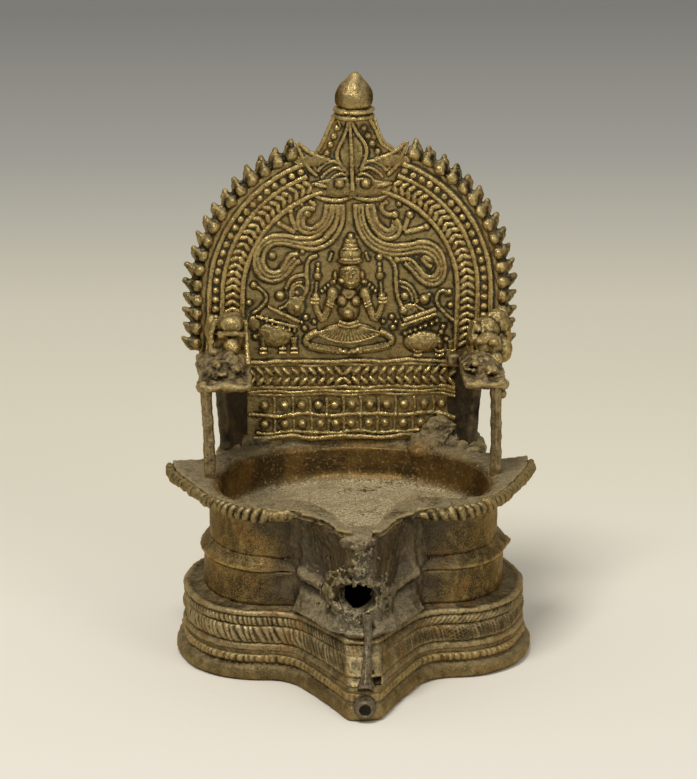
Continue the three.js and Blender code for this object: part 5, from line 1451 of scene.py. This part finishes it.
# Seated goddess: crossed legs under a pleated skirt, four arm rings, a lotus on its stem in each raised hand
# and a tiered crown. The face is a plain calm one.
sheet = MIDDLE_SHEET
goddess_parts = [
    sheet.lump((368, 560), 3.9, 4.9, 3.0), sheet.lump((368, 455), 4.2, 1.3, 2.7),
    sheet.lump((368, 405), 3.7, 2.9, 2.6), sheet.lump((368, 350), 2.6, 1.9, 2.0),
    sheet.lump((368, 318), 2.1, 1.6, 1.6), sheet.lump((370, 285), 1.2, 1.3, 1.5),
    sheet.thread([(300, 432), (368, 440), (436, 432)], 0.5, lift=2.3),
    sheet.thread([(315, 362), (368, 368), (421, 362)], 0.45, lift=1.7),
    sheet.lump((368, 402), 0.9, 0.9, 3.1),
    sheet.lump((356, 690), 2.6, 3.4, 1.8), sheet.lump((356, 790), 3.6, 4.6, 2.0),
    sheet.lump((310, 735), 1.95, 1.95, 3.1), sheet.lump((402, 735), 1.95, 1.95, 3.1),
    sheet.lump((352, 822), 2.35, 2.1, 3.0),
    sheet.thread([(285, 872), (352, 890), (425, 872)], 0.65, lift=1.9),
    sheet.thread([(275, 893), (352, 912), (440, 893)], 0.65, lift=1.8),
    sheet.thread([(322, 672), (352, 705), (392, 672)], 0.4, lift=2.0),
    sheet.thread([(300, 1088), (352, 1096), (405, 1088)], 0.7, lift=0.8),
    sheet.lump((325, 1088), 1.5, 1.0, 2.2), sheet.lump((386, 1090), 1.5, 1.0, 2.2),
]
for number in range(19):
    lean = (number - 9) / 9
    top = (352 + 78 * lean, 915 - 10 * (1 - abs(lean)))
    foot = (352 + 222 * lean, 1018 - 62 * abs(lean) ** 1.6)
    goddess_parts.append(sheet.thread([top, foot], 0.48, (0.7, 1.15), lift=0.85))
goddess_parts += [
    sheet.thread([(128, 958), (230, 1005), (352, 1026), (480, 1005), (582, 962)], 0.55, lift=0.9),
    sheet.lump((354, 955), 9.2, 3.2, 1.2),
]
for side in (-1, 1):
    half = sheet.turned(356, side)
    goddess_parts += [
        half.lump((112, 685), 2.0, 2.3, 2.3),
        half.thread([(115, 690), (145, 780), (178, 862)], 1.45, (1.2, 1, 0.9), lift=0.7),
        half.thread([(178, 868), (215, 810), (238, 735)], 1.2, (1.05, 1, 0.85), lift=0.8),
        half.thread([(105, 752), (130, 742), (152, 728)], 0.5, lift=1.9),
        half.thread([(112, 772), (136, 762), (160, 748)], 0.5, lift=1.9),
        half.thread([(208, 742), (238, 744), (268, 738)], 0.55, lift=1.4),
        half.thread([(205, 716), (236, 720), (268, 712)], 0.55, lift=1.4),
        half.lump((232, 700), 1.3, 1.2, 1.6),
        half.thread([(230, 695), (226, 640), (222, 600)], 0.5),
        half.lump((218, 560), 1.35, 1.5, 1.5),
        half.lump((216, 520), 0.8, 1.4, 1.2), half.lump((214, 480), 0.8, 0.9, 1.0),
        half.thread([(118, 395), (125, 420), (138, 452)], 0.55),
        half.lump((95, 560), 0.8, 1.7, 1.6), half.lump((103, 600), 0.95, 0.95, 1.4),
        half.thread([(215, 950), (270, 975), (300, 1010), (285, 1040)], 1.25, (1.1, 1, 1, 1), lift=0.5),
        half.thread([(285, 1045), (200, 1066), (110, 1078), (50, 1086)], 1.35, (1, 1, 0.95, 0.9), lift=0.6),
        half.thread([(88, 1056), (78, 1098)], 0.55, lift=1.5),
        half.bead((240, 882), 0.85), half.bead((300, 850), 1.0),
        half.bead((308, 925), 1.0), half.bead((330, 885), 0.7),
        half.lump((34, 532), 0.95, 0.42, 3.35),
        half.thread([(12, 506), (36, 498), (62, 508)], 0.3, lift=2.75),
        half.lump((48, 590), 1.5, 1.4, 2.55),
    ]
    for along in range(8):
        share = along / 7
        u, v = 275 - 190 * share, 1030 + 40 * share
        goddess_parts.append(half.thread([(u + 8, v - 14), (u - 2, v + 26)], 0.3, lift=1.7))
    for u, v in ((118, 606), (142, 625), (165, 646), (186, 668)):
        goddess_parts.append(half.lump((u, v), 0.55, 0.8, 0.9, turn=0.6 * side))
goddess_parts += [
    sheet.thread([(368, 505), (368, 535), (368, 562)], 0.5, (0.6, 0.9, 1.5), lift=2.9),
    sheet.thread([(345, 598), (368, 602), (391, 598)], 0.36, lift=2.75),
    sheet.thread([(350, 609), (368, 613), (386, 609)], 0.36, lift=2.6),
    sheet.lump((368, 632), 1.3, 0.8, 2.7),
]
worked_relief(goddess_parts, 0.2, (0.25, 1.3), "seated_goddess", "goddess_figure", 2.4)


# ---- Seat bands under the figures: ridges, two rows of leaf strokes that point to the middle, and two rows
# of bosses in small compartments, all threads and pellets of wax on the plate.
SEAT_CORNER = 34.0
SEAT_SHEET = Sheet(0, 0, 1, -1)


def turned_in(x):
    """At the right the bands run on round the corner, on to the cheek."""
    return 1.75 * max(0.0, x - SEAT_CORNER)


def across_seat(z, radius, half=33.6, wave=0.25, seed=0.0):
    """A thread right across the seat, wavering a little as it was laid."""
    line = []
    for x in np.linspace(-half, half + 2.8, 15):
        wavering = math.sin(0.31 * x + seed) + 0.6 * math.sin(0.83 * x + 2 * seed)
        line.append((x, PLATE_FRONT - turned_in(x), z + wave * wavering))
    return thread_of_wax(line, radius)


band_parts = [
    across_seat(86.1, 0.85, seed=1), across_seat(84.9, 0.65, seed=2), across_seat(77.1, 0.85, seed=3)
]
for number in range(24):
    x = (number - 11) * 2.95
    for row in (-1, 1):
        lean = row * (-1 if x < 0 else 1) * 0.8
        spot = (x + row * 0.1, 81.0 + row * 1.65)
        band_parts.append(SEAT_SHEET.lump(spot, 1.0, 2.15, 1.6, turn=lean, lift=turned_in(x)))
worked_relief(band_parts, 0.25, (0.5, 2), "seat_leaves", "seat_leaf_band", 1.1)

panel_parts = [
    across_seat(75.7, 0.7, seed=4), across_seat(74.6, 0.6, seed=5), across_seat(67.5, 0.8, wave=0.4, seed=6),
    across_seat(61.4, 0.7, 31, 0.35, seed=7), across_seat(59.7, 0.9, 32, 0.4, seed=8),
]
UPPER_BOSSES = (-28.2, -21.4, -15.6, -9.9, -4.3, 1.4, 7.5, 13.3, 19.2, 26.0, 31.9)
LOWER_BOSSES = (-28.2, -21.2, -15.4, -9.2, -4.0, 1.2, 7.3, 12.7, 18.9, 24.9)
for places, z in ((UPPER_BOSSES, 70.9), (LOWER_BOSSES, 64.4)):
    for number, x in enumerate(places):
        panel_parts.append(SEAT_SHEET.lump((x, z), 1.65, 1.6, 1.9))
        if number + 1 < len(places):
            bar = (x + places[number + 1]) / 2
            panel_parts.append(
                SEAT_SHEET.thread([(bar, z - 2.8), (bar + 0.2, z), (bar - 0.1, z + 2.8)], 0.62)
            )
for x in (-18.4, -7.0, 4.3, 16.2):
    panel_parts.append(SEAT_SHEET.lump((x, 67.3), 1.0, 1.0, 1.4))
for x, z, r in ((30, 63.5, 3.0), (32, 60.8, 2.4), (27.5, 61.2, 2.2), (31.5, 67, 1.8)):
    panel_parts.append(SEAT_SHEET.lump((x, z), r, r, 0.9))
worked_relief(panel_parts, 0.25, (0.5, 2), "seat_bosses", "seat_boss_panel", 1.2)


# The plate takes its finish last, once it is known where every relief meets it.
feet = np.concatenate(relief_feet)
nearest_foot = KDTree(len(feet))
for number, foot_point in enumerate(feet):
    nearest_foot.insert(foot_point, number)
nearest_foot.balance()


def painted_shade_and_dark_edge(points):
    """Painted shade in a narrow line beside whatever stands up from the plate; darker along the plate's own edge.
    """
    near = np.array([nearest_foot.find(point)[2] for point in points])
    # Painted shade beside each relief's foot, weaker down on the seat.
    dirt = -1.0 * ridge(near, 0, 0.6) * (points[:, 1] < PLATE_FRONT + 1)
    dirt = dirt * np.where(points[:, 2] < ARCH_FOOT - 3, 0.45, 1)
    edge = (np.linalg.norm(points[:, ::2] - (0, ARCH_MIDDLE), axis=1) > 48.3) & (np.abs(points[:, 0]) > 15)
    return dirt - 0.6 * edge * (points[:, 2] > ARCH_FOOT)


finished(plate, "arched_plate", "back_plate", plate_brass, painted_shade_and_dark_edge)


# ---- Arm lions: two small guardians sitting on the arms against the plate, worn almost smooth. The left one
# faces the front; the right one is turned aside, its mane gone to lumps.
def lumps_of_wax(*lumps):
    return [lump_of_wax(place, size) for place, size in lumps]


lion_parts = lumps_of_wax(
    ((-41.0, 39, 96), (6.6, 5.2, 7.4)), ((-39.6, 35, 101.8), (5.6, 4.8, 4.6)),
    ((-39.4, 30.8, 103.0), (4.0, 2.9, 3.2)), ((-39.4, 30.2, 95.4), (3.0, 3.6, 3.4)),
    ((-39.4, 33.2, 99.2), (5.4, 2.6, 1.3)), ((-42.4, 30.6, 99.2), (1.7, 1.5, 1.1)),
    ((-36.6, 30.6, 99.2), (1.7, 1.5, 1.1)), ((-42.6, 30.2, 91.6), (2.0, 2.4, 2.0)),
    ((-37.0, 30.2, 91.6), (2.0, 2.4, 2.0)), ((-46.0, 37, 100), (2.4, 3.6, 5.0)),
)
lion_parts += [
    thread_of_wax([(-44.6, 33.5, 104.5), (-46.2, 32.4, 98), (-45.8, 30.5, 90.5)], 1.0),
    thread_of_wax([(-35.0, 33.5, 104), (-34.4, 32.6, 97), (-34.0, 29, 89.5)], 1.0),
    thread_of_wax([(-44, 31.0, 100), (-39.4, 28.9, 100.5), (-34.9, 31.0, 100)], 0.9),
    lump_of_wax((-41.0, 38, 91), (7.2, 8.0, 3.6)),
]
lion = one_casting(lion_parts, 0.3, 2)
handmade(lion, 0.8, 2.5)
finished(lion, "lion_on_left_arm", "arm_lion_left", relief_brass)

lion_parts = lumps_of_wax(
    ((45.0, 38.5, 96), (5.4, 5.4, 6.6)), ((49.6, 36.5, 101.2), (4.6, 4.4, 5.0)),
    ((46.6, 33.4, 99), (4.2, 4.2, 5.2)), ((42.6, 32.6, 96.6), (2.6, 3.0, 2.8)),
    ((43.2, 31.8, 100.6), (1.7, 1.8, 1.5)), ((46.2, 31.0, 101.6), (1.4, 1.5, 1.2)),
    ((49.5, 33.2, 96.4), (3.0, 3.0, 3.4)), ((52.6, 36.4, 97.4), (2.2, 2.6, 3.0)),
    ((45.6, 38, 91.5), (6.4, 9.0, 3.6)), ((43.0, 26.6, 91.6), (2.6, 3.2, 2.4)),
    ((48.8, 26.6, 91.6), (2.6, 3.2, 2.4)), ((46.6, 28.4, 95.6), (4.6, 3.6, 4.4)),
    ((51.4, 31.0, 93.4), (3.4, 4.0, 4.4)), ((43.6, 26.4, 97.6), (1.5, 1.4, 1.2)),
    ((47.8, 25.0, 97.4), (1.9, 1.6, 1.4)),
)
lion_parts += [
    thread_of_wax([(44.6, 31.0, 103), (44.9, 29.8, 98), (44.6, 30.2, 93)], 0.7),
    thread_of_wax([(42.2, 32.0, 103), (41.4, 31.4, 97), (41.6, 31.4, 92)], 0.7),
]
lion = one_casting(lion_parts, 0.3, 2)
handmade(lion, 1.0, 2.2)
finished(lion, "lion_on_right_arm", "arm_lion_right", relief_brass)


# ---- Finial: a ringed collar and a smooth lotus bud over it, cast in brass and threaded on the plate's pin.
def turned_on_pin(profile, count=72):
    """Rings about the plate's pin: (radius, height) for each."""
    turn = full_turn(count)
    middle = PLATE_FRONT + PLATE_THICK / 2
    return [
        leaned(np.column_stack((radius * np.cos(turn), middle + radius * np.sin(turn), np.full(count, z))))
        for radius, z in profile
    ]


ring_profile = [
    (1.4, 0), (5.6, 0), (6.6, 0.2), (7.1, 0.7), (6.9, 1.3), (6.2, 1.7), (6.1, 2.0), (6.7, 2.3), (7.15, 2.8),
    (6.9, 3.4),
    (6.0, 3.8), (5.0, 3.9), (1.4, 3.9), (1.4, 0),
]
finial_ring = drawn_out(turned_on_pin([(r, 169.9 + z) for r, z in ring_profile]), closed=True)
finial_ring = one_casting([finial_ring], 0.3, 2)
handmade(finial_ring, 0.6, 2.5)
finished(finial_ring, "finial_rings", "finial_collar", relief_brass)

bud_profile = [
    (0, 0), (5.0, 0), (5.8, 0.3), (6.3, 1.1), (6.5, 2.4), (6.5, 3.7), (6.2, 5.1), (5.6, 6.2), (4.8, 7.4),
    (3.85, 8.5), (2.95, 9.5), (2.15, 10.4), (1.5, 11.1), (0.85, 11.6), (0, 11.7),
]
bud = drawn_out(turned_on_pin([(r, 173.8 + z) for r, z in bud_profile]))
bud = one_casting([bud], 0.35, 1)
handmade(bud, 0.7, 4)
bud_brass = old_brass(
    "rubbed_bud_brass", (0.43, 0.315, 0.13), (0.165, 0.12, 0.05), (0.024, 0.018, 0.009), rough=0.37, metal=0.9
)
# Painted reflection: the bud's sides are painted dark, as a polished round reflects dark surroundings at its
# edges, and the middle is a little lighter.
painted_dark_reflection = lambda points: 0.1 - 1.5 * rising(np.abs(points[:, 0] - 2.2), 3.6, 2.6)
finished(bud, "lotus_bud", "finial_bud", bud_brass, painted_dark_reflection)
